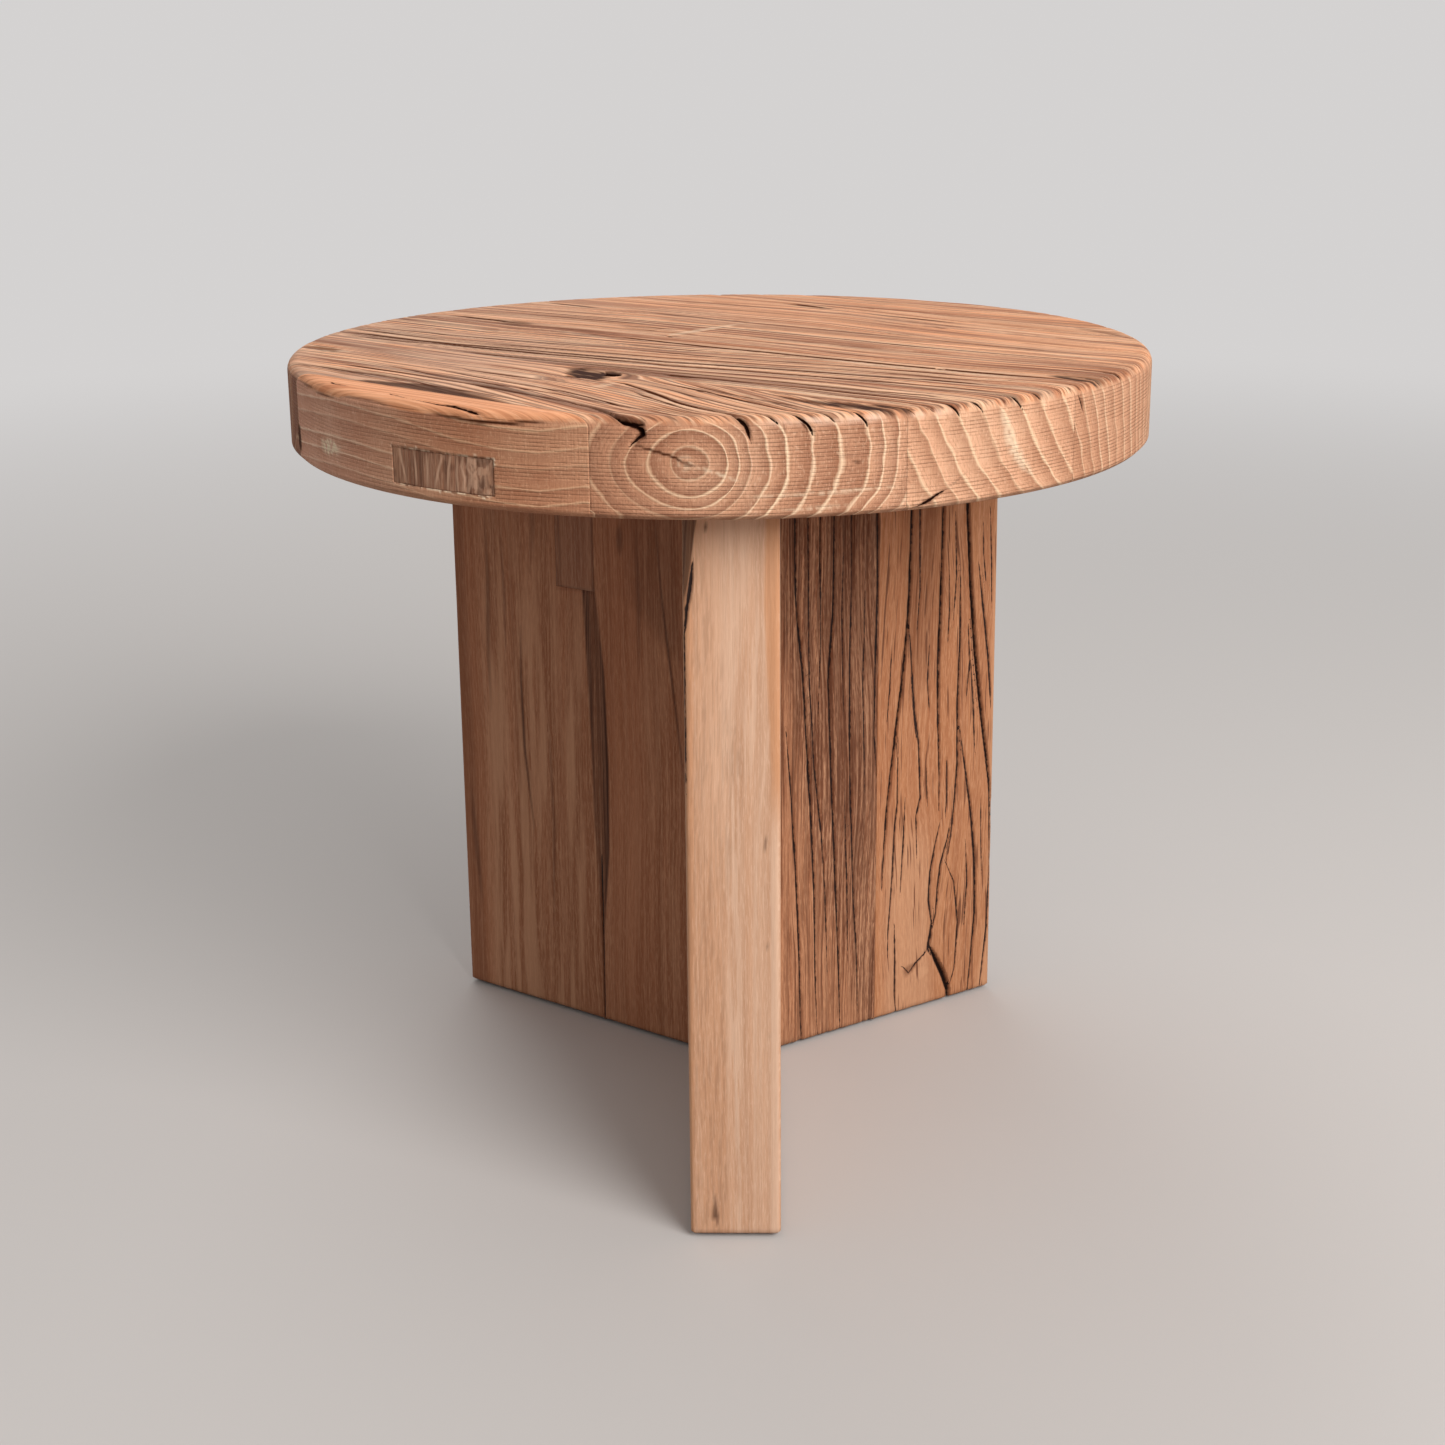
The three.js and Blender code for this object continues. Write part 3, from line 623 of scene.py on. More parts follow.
def fine_fibres(number, along, start):
    """Valleys between the drawn grooves, and the broad bands they lie in, both 0 to 1."""
    fine = grained(along, start, 80, 1.5, 100 + number, 1)
    middle = grained(along, start, 120, 4, 120 + number)
    steps = start / (3.4 * MM) + 5 * grained(along, start, 170, 20, 130 + number, 2, shift=9)
    share = steps - np.floor(steps)
    which = noise(along / (170 * MM), 7.3 * np.floor(steps), 140 + number)
    thread = smooth(0.45, 0.85, share) * (1 - smooth(0.93, 1, share)) * smooth(0.2, 0.6, which)
    bands = grained(along, start, 260, 7, 150 + number)
    valleys = 0.5 * smooth(0.5, 0.85, 0.5 * fine + 0.5 * middle)
    return largest(valleys, thread, 0.45 * smooth(0.55, 0.69, bands)), bands


def ring_notches(number, along, across, down, ring, turn):
    """Pointed notches where the ring lines open up at the rim, and the grooves they run on in."""
    count = np.rint(ring)
    lengths = np.array(NOTCHES.get(number, [0]))
    length = lengths[np.clip(count, 0, len(lengths) - 1).astype(int)] * MM
    past = (count >= len(lengths)) | (count < 0)
    length = np.where(past, 2.5 * MM * (number > 1), length) * ((number > 2) | (turn > PITH_ANGLE))
    front = np.maximum(front_reach(across) - along, 0)
    back = np.maximum(front_reach(across) + along, 0)
    chosen = noise(count * 7.7 + number, count * 0 + 3.3, 410) > 0.55
    near = np.maximum(fall(3, 34, front), chosen * fall(2, 20, back))
    tip = np.clip(1 - down / np.maximum(length, 0.1 * MM), 0, 1)
    width = 0.03 + 0.075 * tip ** 0.8
    notch = (1 - smooth(0.35, 1, np.abs(ring - count) / width)) * smooth(0, 0.25, tip)
    notch = notch * (0.3 + 0.7 * rise(2, 5.5, length))
    run = noise(along / (60 * MM) + 7, count * 5.37, 400 + number)
    lasting = smooth(0.35, 0.8, run) * rise(0, 3, length)
    return notch * near, 0.8 * notch * lasting


def weathering(along, across, start):
    """Grey share of the face, strongest at the left."""
    grey = fall(-60, 60, along + 0.5 * (across + 170 * MM))
    grey = grey * (1 - smooth(-110 * MM, 0, across))
    grey = np.maximum(grey, 0.5 * fall(-235, -90, along))
    return grey * smooth(0.2, 0.6, grained(along, start, 70, 14, 580, shift=5))


def bare_wane(along, across, height, turn, brushed):
    """Shade along the chipped lip of the bare wane of the first board, and where it is bare."""
    ragged = 1.2 * (fractal(turn / 2.2 + 90, turn / 9 + 90, 590) - 0.5)
    lip = (np.interp(turn, *zip(*WANE_LIP)) + ragged) * MM - height
    darkness = np.interp(turn, *zip(*WANE_SHADE))
    shade = (1 - smooth(0.2, 1, np.abs(lip) / ((0.5 + 1.1 * darkness) * MM))) * darkness
    streaks = smooth(0.66, 0.85, grained(along, across, 26, 2.2, 592, shift=3)) * brushed
    return np.maximum(0.24 * streaks, 0.6 * shade), fall(-0.4, 0.4, lip)


def painted_arris_highlight(height, upward, turn):
    """Painted highlight on the roundover of the arris at the front right, where it faces the key light."""
    arris_highlight = 0.6 * smooth(0.15, 0.4, upward) * (1 - smooth(0.6, 0.9, upward))
    arris_highlight = arris_highlight * smooth(-47, -43, turn) * (1 - smooth(-28, -22, turn))
    return arris_highlight * smooth(0.3, 0.6, fractal(turn / 1.5, height / (5 * MM), 670))


def patch_recess(height, turn, outward, depth, smear, pale):
    """Recess for the rim patch, with a dark joint, pale splinters and a pale blot beside it."""
    on_rim = outward > 0.9
    off_centre = np.radians(turn) - PATCH_ANGLE
    beyond = np.maximum(np.abs(RADIUS * np.sin(off_centre)) - PATCH_HALF_LENGTH,
                        np.abs(height - PATCH_MIDDLE) - PATCH_HALF_HEIGHT)
    flat_back = (RADIUS - PATCH_DEPTH - GLUE_GAP) / np.cos(off_centre)
    depth = np.where((beyond < GLUE_GAP) & (outward > 0.99), RADIUS - flat_back, depth)
    rough = fractal(turn * 2.3 + 40, height / (2.4 * MM) + 40, 640, 2)
    outline = fall(0.1, 0.9, beyond) * smooth(0.45, 0.6, rough) * on_rim
    splinter = fall(0.15, 0.6, np.abs(beyond - 2.6 * MM * (rough - 0.35)))
    splinter = splinter * smooth(0.42, 0.6, noise(turn * 1.1 + 10, height / (5 * MM), 643)) * on_rim
    blot = patch_of(turn * MM, height, (-104, 416.5), 3, 4.6, 0, 660)
    blot = blot * smooth(0.3, 0.6, fractal(turn * 2.2, height / (1.6 * MM), 661)) * 1.5
    return depth, np.maximum(smear, 0.6 * outline), largest(pale, 1.3 * splinter, blot * on_rim)


def make_top_board(number, low, high, material):
    along, across, height, outward, upward = top_slices(low, high)
    start = grain_flow(number, along, across)
    ring = board_rings(number, along, start, height)
    turn = np.degrees(np.arctan2(across, along))
    brushed = smooth(0.25, 0.75, upward)
    on_rim = outward > 0.9

    # Drawn grooves and strips, and the finer fibres between them
    groove = drawn_lines(along, across, GROOVES, 300, 1.35) * brushed
    tanned = 0.55 * drawn_lines(along, across, GROOVES, 310, 3.2) * brushed * (number > 1)
    pale = drawn_lines(along, across, STRIPS, 310, 1.2)
    # Painted highlights: pale lines on the ridges each side of a groove
    for beside in GROOVE_HIGHLIGHT_SIDES:
        pale = np.maximum(pale, 0.6 * drawn_lines(along, across + beside, GROOVES, 300, 1.4))
    pale = pale * (1 - groove) * brushed
    fibre, bands = fine_fibres(number, along, start)
    fibre = fibre * smooth(0.45, 0.95, upward)
    band_pale = (0.3 if number == 2 else 0.55) * FACE_CONTRAST[number]
    pale = np.maximum(pale, band_pale * smooth(0.54, 0.68, 1 - bands) * brushed)
    notch, lasting = ring_notches(number, along, across, TOP - height, ring, turn)
    groove = np.maximum(groove, lasting * brushed)

    # Cracks on the top and down the rim
    over = crack_field(along, across, scaled(HEART_TOP + SLIVER_CRACKS if number < 3 else [], MM), 2.2 * MM)
    face = crack_field(turn * DEGREE, height, scaled(RIM_CRACKS, DEGREE), 1.6 * MM)
    side, half, crack_depth = [np.where(upward > 0.3, a, b) for a, b in zip(over, face)]
    half = half * (outward + upward > 0)
    hairline, cream = [crack_field(turn * DEGREE, height, scaled(lines, DEGREE))[2] / MM
                       * smooth(0.7, 0.95, outward) for lines in (RIM_LINES, RIM_CREAM)]

    # Knots and stains
    pit = patches_of(along, across, PITS, 500, 10) * brushed
    torn = smooth(0.3, 0.6, grained(along, across + 0.2 * along, 18, 2.4, 545))
    smear = patches_of(along, across, SMEARS, 550) * (0.45 + 0.55 * torn)
    if number == 2:
        wedge = between(across, along, -227, WEDGE_TOP, 2.2)
        first, last = WEDGE_TOP[0][0] * MM, WEDGE_TOP[-1][0] * MM
        wedge = wedge * (0.85 + 0.15 * torn) * (along > first) * (along < last)
        smear = np.maximum(smear, wedge)
    smear = smear * brushed
    cream = cream * smooth(0.1, 0.5, noise(turn * 3, height / (2 * MM), 585))
    pale = largest(pale, patches_of(along, across, FLAMES, 560, 10) * brushed, cream)
    weathered = weathering(along, across, start)
    sliver = 0 * brushed
    if number == 1:
        groove, sliver = bare_wane(along, across, height, turn, brushed)
        pale, smear, weathered, fibre = pale * 0, smear * 0, weathered * 0, fibre * 0.2

    depth = FIBRE_DEPTH[number] * (brushed * fibre * (1 - 0.6 * pale)) + GROOVE_DEPTH * groove
    depth = depth + NOTCH_CUT * notch + crack_depth + PIT_DEPTH * pit + SMEAR_DEPTH * smear * brushed
    if number == 1:
        depth, smear, pale = patch_recess(height, turn, outward, depth, smear, pale)
    if number == 2:
        from_heart = np.hypot((turn - PITH_ANGLE) * DEGREE, height - PITH_HEIGHT)
        heart = fall(2.5, 5, from_heart)
        heart = heart * smooth(0.3, 0.6, noise(turn * 4, height / MM, 655))
        pale = np.maximum(pale, 0.5 * heart * on_rim)
    if number < 3:
        slit = patch_of(turn * MM, height, (-115.7, 413), 1.2, 9, 0, 650)
        end = 0.34 * (turn < -115) * (turn > -150) * (number == 2)
        smear = np.maximum(smear, np.maximum(slit, end) * on_rim)

    depth = np.where(outward + upward > 0, depth, 0)
    points = np.stack([along, across, height], axis=2)
    flat_away = np.maximum(np.hypot(along, across), 1 * MM)
    points[:, :, 0] -= depth * outward * along / flat_away
    points[:, :, 1] -= depth * outward * across / flat_away
    points[:, :, 2] -= depth * np.maximum(upward, 0)
    attributes = {
        "grain": np.stack([along, start, ring], axis=2),
        "marks": np.stack([np.maximum(groove, hairline), np.maximum(notch, pit), smear], axis=2),
        "crack": np.stack([side, half, turn], axis=2),
        "tints": np.stack([weathered, pale, sliver], axis=2),
        "brushed": brushed,
        "fibre": np.maximum(fibre, tanned * (1 - 0.5 * pale)),
        "arris_highlight": painted_arris_highlight(height, upward, turn),
    }
    grain_turn = Matrix.Rotation(GRAIN_ANGLE, 4, "Z")
    name = f"top_board_{number}_wood"
    return wrapped_piece(name, points, attributes, grain_turn, material, [f"top_board_{number}"])


# Blade boards: rows go up, columns go round the plan
def outline_points(corners, step):
    """Even points round a closed outline. Each corner is (x, y); the first one closes it."""
    points = []
    for (ax, ay), (bx, by) in zip(corners, corners[1:] + corners[:1]):
        count = max(1, round(math.dist((ax, ay), (bx, by)) / step))
        for index in range(count):
            share = index / count
            points.append((ax + (bx - ax) * share, ay + (by - ay) * share))
    points.append(points[0])
    return np.array(points)


def arc(cx, cy, radius, start, end, steps):
    turns = [start + (end - start) * step / steps for step in range(steps + 1)]
    return [(cx + radius * math.cos(turn), cy + radius * math.sin(turn)) for turn in turns]


BLADE_ARRIS = 2.5 * MM
EDGE_STEPS = 3


def inner_corners():
    tip = GLUE_GAP / (2 * math.sin(math.radians(60)))
    side = tip + HALF_BLADE / math.tan(math.radians(60))
    edge = JOINT_REACH - GLUE_GAP / 2
    return [(tip, 0), (side, -HALF_BLADE), (edge, -HALF_BLADE), (edge, HALF_BLADE), (side, HALF_BLADE)]


def outer_corners(reach):
    edge = JOINT_REACH + GLUE_GAP / 2
    centre = reach - BLADE_ARRIS
    quarter = math.pi / 2
    low = arc(centre, BLADE_ARRIS - HALF_BLADE, BLADE_ARRIS, -quarter, 0, EDGE_STEPS)
    high = arc(centre, HALF_BLADE - BLADE_ARRIS, BLADE_ARRIS, 0, quarter, EDGE_STEPS)
    return [(edge, -HALF_BLADE)] + low + high + [(edge, HALF_BLADE)]


# The notch in the left blade takes the corner beside the glue line
NOTCH_START = JOINT_REACH + GLUE_GAP / 2
NOTCH_END = NOTCH_START + NOTCH_WIDTH + GLUE_GAP
NOTCH_FLOOR = HALF_BLADE - NOTCH_DEPTH - GLUE_GAP
NOTCH_FOOT = UNDER - NOTCH_HEIGHT - GLUE_GAP


def notched_corners(reach):
    corners = outer_corners(reach)[:-1]
    corners += [(NOTCH_END + HAIR, HALF_BLADE), (NOTCH_END - HAIR, HALF_BLADE)]
    return corners + [(NOTCH_START, HALF_BLADE), (NOTCH_START, NOTCH_FLOOR)]


# How far the end of the right blade draws in, and from where
DRAWN_IN = 2.4 * MM
DRAW_START = 150 * MM


# A carve moves the points of a board, and says where the wood is bare
def carve_notch(x, y, z):
    inside = (z > NOTCH_FOOT) & (x < NOTCH_END) & (y > NOTCH_FLOOR)
    return x, np.where(inside, NOTCH_FLOOR, y), np.zeros_like(x)


def carve_wane(x, y, z):
    """The wane takes the left edge off the top of the front blade."""
    width = np.maximum(WANE_WIDTH * (z - UNDER + WANE_LENGTH) / WANE_LENGTH, 0)
    width = width + (width > 0) * 1.6 * MM * (noise(z / (9 * MM), z * 0 + 3.3, 77) - 0.7)
    away = width - (REACH["front"] - x) - (y + HALF_BLADE)
    off = np.maximum(away, 0) / 2
    return x - off, y + off, rise(-0.5, 0.7, away)


def draw_in(x, y, z):
    """The end of the right blade draws in a little towards the top."""
    return x - DRAWN_IN * z / UNDER * smooth(DRAW_START, REACH["right"], x), y, np.zeros_like(x)


def level_rows(low, high, rows):
    return np.concatenate([[low, low + FOOT_ARRIS], np.linspace(low + 4 * MM, high, rows)])


FOOT_ARRIS = 1.6 * MM
BLADE_ROWS = level_rows(SLAB_FOOT, UNDER, 110)
FINE_ROWS = level_rows(SLAB_FOOT, UNDER, 190)
NOTCHED_ROWS = np.concatenate([level_rows(SLAB_FOOT, NOTCH_FOOT - HAIR, 80),
                               np.linspace(NOTCH_FOOT + HAIR, UNDER, 30)])


def upright_slices(corners, heights, step):
    """Points up a wall round an outline, and the way each one faces."""
    outline = outline_points(corners, step)
    ahead = np.roll(outline[:-1], -1, axis=0) - np.roll(outline[:-1], 1, axis=0)
    normal = np.stack([ahead[:, 1], -ahead[:, 0]], axis=1)
    normal /= np.linalg.norm(normal, axis=1)[:, None]
    normal = np.vstack([normal, normal[:1]])
    z = np.repeat(heights[:, None], len(outline), axis=1)
    x, y, nx, ny = [np.repeat(row[None, :], len(heights), axis=0) for row in (*outline.T, *normal.T)]
    return x, y, z, nx, ny


# Cracks and stains on the faces: (widest, depth or darkness, points of reach and height), millimetres
RIGHT_OUTER_CRACKS = [
    (2.6, 3, [(112, 410), (112, 337), (111, 290), (110, 268), (107, 235), (103, 205), (99, 172),
        (96, 145), (94, 112), (93, 92)]), (1.4, 0.6, [(118, 400), (118, 338), (119, 288), (117, 262)]),
    (1.6, 1, [(111, 268), (114, 235), (117, 205), (120, 187), (122, 150), (119, 138), (120, 109)]),
    (2.4, 3, [(137, 410), (136, 336), (135, 274), (134, 240), (135, 200), (137, 160), (137, 138)]),
    (1.8, 1, [(138, 130), (134, 112), (131, 96), (130, 76), (133, 58), (130, 44)]),
    (4.6, 5, [(131, 44), (133, 40), (138, 30), (143, 20), (147, 8), (147, -6)]),
    (2.6, 2, [(133, 62), (132, 52), (130, 42), (133, 36)]),
    (1.8, 1, [(146, 128), (144, 116), (139, 100), (137, 83), (136, 66), (133, 54)]),
    (3.6, 4, [(151, 410), (155, 337), (159, 285), (164, 240), (169, 205), (175, 168), (180, 134),
        (182, 115)]),
    (2, 1.5, [(150, 300), (151, 250), (150, 208), (151, 168), (149, 139), (147, 118), (144, 102)]),
    (1.4, 0.8, [(143, 100), (150, 85), (154, 55), (152, 22), (147, 8)]),
    (2, 1, [(165, 300), (171, 262), (175, 235), (178, 200)]),
    (2.2, 1.5, [(152, 192), (157, 165), (163, 132), (167, 96), (168, 58), (165, 20), (162, -8)]),
    (1.8, 1, [(177, 160), (180, 93), (178, 45), (173, 1), (172, -6)]),
    (1.4, 0.6, [(104, 195), (104, 150), (102, 130), (101, 100), (98, 60), (98, 44)]),
    (1.4, 0.6, [(103, 66), (104, 40), (104, 15), (106, -4)]),
    (1.6, 0.8, [(110, 34), (115, 28), (121, 34), (130, 41)]),
    (1.2, 0.5, [(145, 336), (147, 295), (145, 262)]), (1.2, 0.5, [(157, 262), (159, 236), (157, 212)]),
    (1.4, 0.6, [(160, 236), (163, 205), (165, 172)]), (1.2, 0.5, [(127, 252), (126, 228), (128, 205)]),
    (1.2, 0.5, [(159, 112), (161, 84), (159, 52)]), (1.2, 0.5, [(110, 152), (109, 118), (107, 84)]),
    (1, 0.5, [(141, 300), (142, 272), (141, 250)]), (1, 0.5, [(168, 330), (169, 306), (172, 284)]),
    (1, 0.5, [(174, 336), (176, 300), (177, 268)]), (1, 0.5, [(98, 250), (97, 226), (95, 204)]),
    (1, 0.5, [(126, 170), (127, 152), (128, 141)]), (1, 0.5, [(142, 172), (143, 150), (142, 132)]),
    (1, 0.5, [(171, 140), (172, 110), (173, 84)]), (1, 0.5, [(113, 236), (115, 214), (118, 190)]),
]
RIGHT_INNER_CRACKS = [
    (2.2, 2, [(27, 410), (28, 300), (33, 250), (36, 205), (39, 160), (42, 100), (43, 40), (45, -6)]),
    (1.6, 1, [(36, 405), (37, 300), (38, 240), (42, 185), (47, 140), (50, 100), (52, 40)]),
    (2.4, 2, [(56, 405), (55, 290), (52, 240), (54, 180), (57, 120), (60, 60), (62, -6)]),
    (1.8, 1, [(68, 405), (68, 300), (67, 250), (68, 180), (70, 120), (74, 50), (75, 10)]),
    (1.8, 1.5, [(21, 215), (25, 170), (28, 125), (31, 60), (33, -6)]),
    (1.2, 0.5, [(46, 400), (45, 330), (46, 270), (44, 215)]),
    (1.2, 0.5, [(62, 340), (61, 280), (63, 215)]), (1.2, 0.5, [(78, 300), (77, 230), (79, 160)]),
    (1.2, 0.5, [(64, 170), (66, 110), (67, 50)]),
    (2, 1, [(86, 410), (87, 292), (86, 239), (86, 200), (88, 170)]),
]
LEFT_INNER_CRACKS = [(1.4, 0.8, [(87, 120), (87.4, 80), (87.6, 40), (87.6, -4)])]
LEFT_INNER_STAINS = [
    (6, 0.6, [(68, 318), (68, 340)]), (2.2, 0.8, [(42, 345), (38, 295), (31, 240), (22, 168)]),
    (2, 1, [(84, 262), (82, 235), (81, 180), (82, 120), (86, 70)]),
    (4, 0.4, [(56, 340), (55, 290), (56, 240)]),
]
LEFT_OUTER_STAINS = [
    (2.4, 0.9, [(146, 262), (147, 225), (146, 180), (143, 150), (140, 124)]),
    (4, 0.5, [(172, 335), (171, 290), (173, 240), (172, 200)]),
    (5, 0.5, [(192, 150), (190, 110), (186, 60)]), (3, 0.4, [(160, 330), (158, 280), (159, 240)]),
    (3, 0.4, [(126, 200), (124, 130), (127, 60)]), (6, 0.4, [(135, 390), (134, 330), (137, 300)]),
]
FRONT_CRACKS = [
    (2, 1, [(-18.5, 374), (-19.6, 366), (-20.6, 356), (-22.4, 348), (-22.6, 338)]),
    (1, 0.3, [(-23.4, 340), (-23.7, 300), (-23.6, 250)]),
]
FRONT_STAINS = [
    (4.5, 1, [(-11.2, 18), (-10.4, 11)]), (1.8, 0.9, [(-11, 26), (-10.6, 17), (-9.6, 7)]),
    (1.4, 0.9, [(-12.4, 391.5), (-12.2, 388.8)]), (1.6, 0.7, [(16.6, 230), (16, 221)]),
    (1.2, 0.6, [(17, 170.5), (17.4, 168.8)]), (1.2, 0.8, [(18.4, 118), (18.6, 116)]),
]

# Pale lines on the rim patch: width, strength, points from its middle
PATCH_LINES = [
    (1.6, 1, [(-27, 10), (-26, 3), (-24, -4), (-23, -10)]), (1.4, 1, [(-17, 10), (-16, 1), (-15.5, -10)]),
    (1.6, 1, [(-8.4, 10), (-8, 0), (-8.6, -10)]), (1.6, 1, [(2.6, 10), (0, 3), (-2.4, -4), (-4, -10)]),
    (1.6, 1, [(7.4, 10), (5.6, 2), (4.4, -10)]), (1.4, 1, [(11.4, 10), (10.6, 0), (11, -10)]),
    (1.6, 1, [(15, 10), (13.6, 4), (15.4, -2), (14, -10)]),
    (1.6, 0.8, [(19, 10), (16.6, 4), (20, 0), (18, -6)]),
    (1.6, 0.8, [(22.6, 9), (20.4, 3), (23, -2), (21, -9)]), (1.2, 0.7, [(17, -9), (19, -4), (18, 0)]),
    (1.2, 0.6, [(25, 8), (26, 3), (24.6, -3)]), (1.2, 0.6, [(28, 6), (27.4, 0), (28.6, -7)]),
]


# Paint on the faces: dark, pale and warm shares, for reach from the centre and height. On the left blade they
# also hold painted light and painted shade.
def paint_none(u, z):
    return u * 0, u * 0, u * 0


def paint_left_inner(u, z):
    heart = between(u, z, [(0, 88), (50, 87.5), (80, 85), (120, 81), (180, 80.5), (240, 82), (275, 85),
                           (300, 88)], 99, 0.8)
    # Painted shade under the tabletop, at the top of the board near the middle
    shade = 0.35 * between(u, z, [(0, 20), (240, 25), (300, 24)], [(250, 20), (290, 60), (400, 70)], 8)
    edge = between(u, z, 79, 85, 1.5)
    streaks = smooth(0.42, 0.7, grained(z, u, 90, 5, 710, shift=2))
    # Pale streaks that fade out towards the top: the fade is painted shade of the tabletop
    light = streaks * between(u, z, 30, 74, 12) * fall(230, 340, z)
    warm = 0.5 * between(u, z, 50, 80, 10)
    return np.maximum(heart * (0.68 + 0.32 * edge), shade), 0.45 * light, warm


def paint_left_outer(u, z):
    heart = between(u, z, 80, [(0, 88), (60, 89), (100, 90), (140, 92), (200, 93), (250, 95),
                                      (293, 97)], 1)
    heart = heart * (z < NOTCH_FOOT) * (0.62 + 0.38 * between(u, z, 91.5, 99, 1))
    # Pale streaky band across the middle of the board, fading out towards the top: painted light on the
    # middle and painted shade of the tabletop above, over streaky wood
    pale = smooth(0.4, 0.65, grained(z, u, 90, 4.5, 720, shift=2))
    pale = pale * between(u, z, 98, 178, 8) * (1 - 0.8 * rise(240, 350, z))
    far = between(u, z, [(0, 184), (200, 188), (400, 190)], 230, 3)
    return np.maximum(heart, 0.3 * far), pale, 0.6 * between(u, z, 180, 210, 6)


def paint_front(u, z):
    warm = between(u, z, [(0, 22), (150, 20.5), (230, 18), (262, 19.5), (300, 18), (350, 16), (400, 17)],
                   30, 1)
    warm = warm * rise(225, 268, z)
    rim = between(u, z, [(0, 18.5), (200, 19), (262, 20)], 23, 0.8)
    rim = rim * fall(215, 275, z)
    left = between(u, z, -30, [(0, -22), (150, -20.5), (300, -19), (350, -19)], 1.5)
    line = 0.8 * between(u, z, [(0, 9.5), (180, 9.8), (230, 11.5), (260, 14.5), (290, 18)],
                         [(0, 10.8), (180, 11.2), (230, 13), (260, 16.5), (290, 19.4)], 0.7) * (z < 292 * MM)
    flame = between(u, z, [(240, -4), (270, 2), (300, 6), (350, 12), (372, 18)],
                    [(240, 4), (270, 11), (300, 15), (350, 19), (372, 22)], 3)
    streaks = smooth(0.45, 0.6, fractal(z / (40 * MM) + u / (9 * MM) + 4, u / (1.3 * MM) + 4, 730))
    wide = between(u, z, [(200, -14), (260, -18), (400, -14)], [(200, -6), (300, 2), (400, 14)], 4)
    wide = wide * rise(190, 260, z)
    wide = np.maximum(0.85 * wide, 0.35 * between(u, z, 10, [(0, 20), (200, 18)], 2))
    pale = largest(line, 0.9 * flame * streaks, wide * (0.6 + 0.4 * streaks), rim)
    dark = smooth(0.5, 0.62, grained(z, u, 14, 0.8, 732, shift=8))
    place = between(u, z, -23, [(0, -4), (200, -3), (270, 8), (330, -8), (400, -16)], 3)
    side = between(u, z, [(-10, -18), (100, -20)], [(-10, -2), (230, -5)], 4)
    return dark * (0.16 * place + 0.04), pale, largest(warm, 0.8 * left, 0.35 * side)


def paint_right_inner(u, z):
    dark = between(u, z, [(0, 75), (130, 56), (400, 48)], 100, 8) * rise(60, 180, z)
    pale = between(u, z, 0, [(0, 80), (60, 62), (130, 40), (240, 24), (300, 10)], 8)
    torn = smooth(0.45, 0.7, grained(z, u, 26, 1.6, 735, shift=3))
    return 0.4 * dark + 0.3 * torn, pale * (0.05 + 0.2 * (1 - torn)), 0.45 * pale


def paint_right_outer(u, z):
    dark = 0.6 * between(u, z, [(220, 112), (400, 104)], [(220, 128), (400, 136)], 6)
    dark = dark * rise(200, 250, z)
    low = between(u, z, 95, [(0, 134), (130, 128)], 6) * fall(110, 150, z)
    corner = between(u, z, [(-10, 168), (60, 178)], 190, 2)
    hollow = patch_of(u, z, (115, 30), 6, 4, 30, 740)
    chip = patch_of(u, z, (124, 26), 7, 5, 0, 742)
    middle = 0.35 * between(u, z, [(250, 126), (400, 130)], [(250, 137), (400, 142)], 4)
    middle = middle * rise(230, 270, z)
    return largest(dark, middle, 0.7 * hollow), largest(0.7 * low, corner, chip), 0.4 * (1 - low)


def paint_notch(u, z):
    foot = 1 - smooth(NOTCH_FOOT, NOTCH_FOOT + 3 * MM, z)
    corner = between(u, z, [(280, 110), (310, 116)], 120, 2)
    corner = corner + between(u, z, 80, [(280, 92), (310, 88)], 2)
    return largest(0.1, 0.35 * foot, 0.5 * corner), 0.4 * foot * (u < 108 * MM), u * 0 + 0.6


def paint_patch(u, z):
    edge = np.minimum(PATCH_HALF_LENGTH - np.abs(u), PATCH_HALF_HEIGHT - np.abs(z - PATCH_MIDDLE))
    wavy = 0.8 * MM * grained(u, z, 3, 3, 750, 1, shift=30)
    dark = 0.75 * fall(0, 0.9, edge - 0.6 * wavy) * smooth(0.3, 0.55, wavy / (0.8 * MM))
    lines = [(wide, strength, [(x, y + PATCH_MIDDLE / MM) for x, y in points])
             for wide, strength, points in PATCH_LINES]
    pale = crack_field(u, z, scaled(finer(lines, 0.7), MM))[2] / MM
    right = 0.35 * rise(22, 27, u) * grained(u, z, 1.5, 3, 751, 1)
    hollow = smooth(0.5, 0.8, grained(u, z, 4, 7, 752, 1, shift=11))
    shade = 0.5 * smooth(0.35, 0.7, grained(u, z, 1.4, 9, 753, shift=5))
    swirl = rise(13, 18, u) * smooth(0.5, 0.62, grained(u, z, 2.2, 3.2, 754))
    gouge = rise(14, 19, u) * smooth(0.5, 0.6, grained(u, z, 2.6, 5, 755, shift=20))
    dark = np.maximum(dark, largest(0.75 * hollow, shade, gouge) * (1 - pale))
    return dark, largest(pale, right, 0.8 * swirl), u * 0


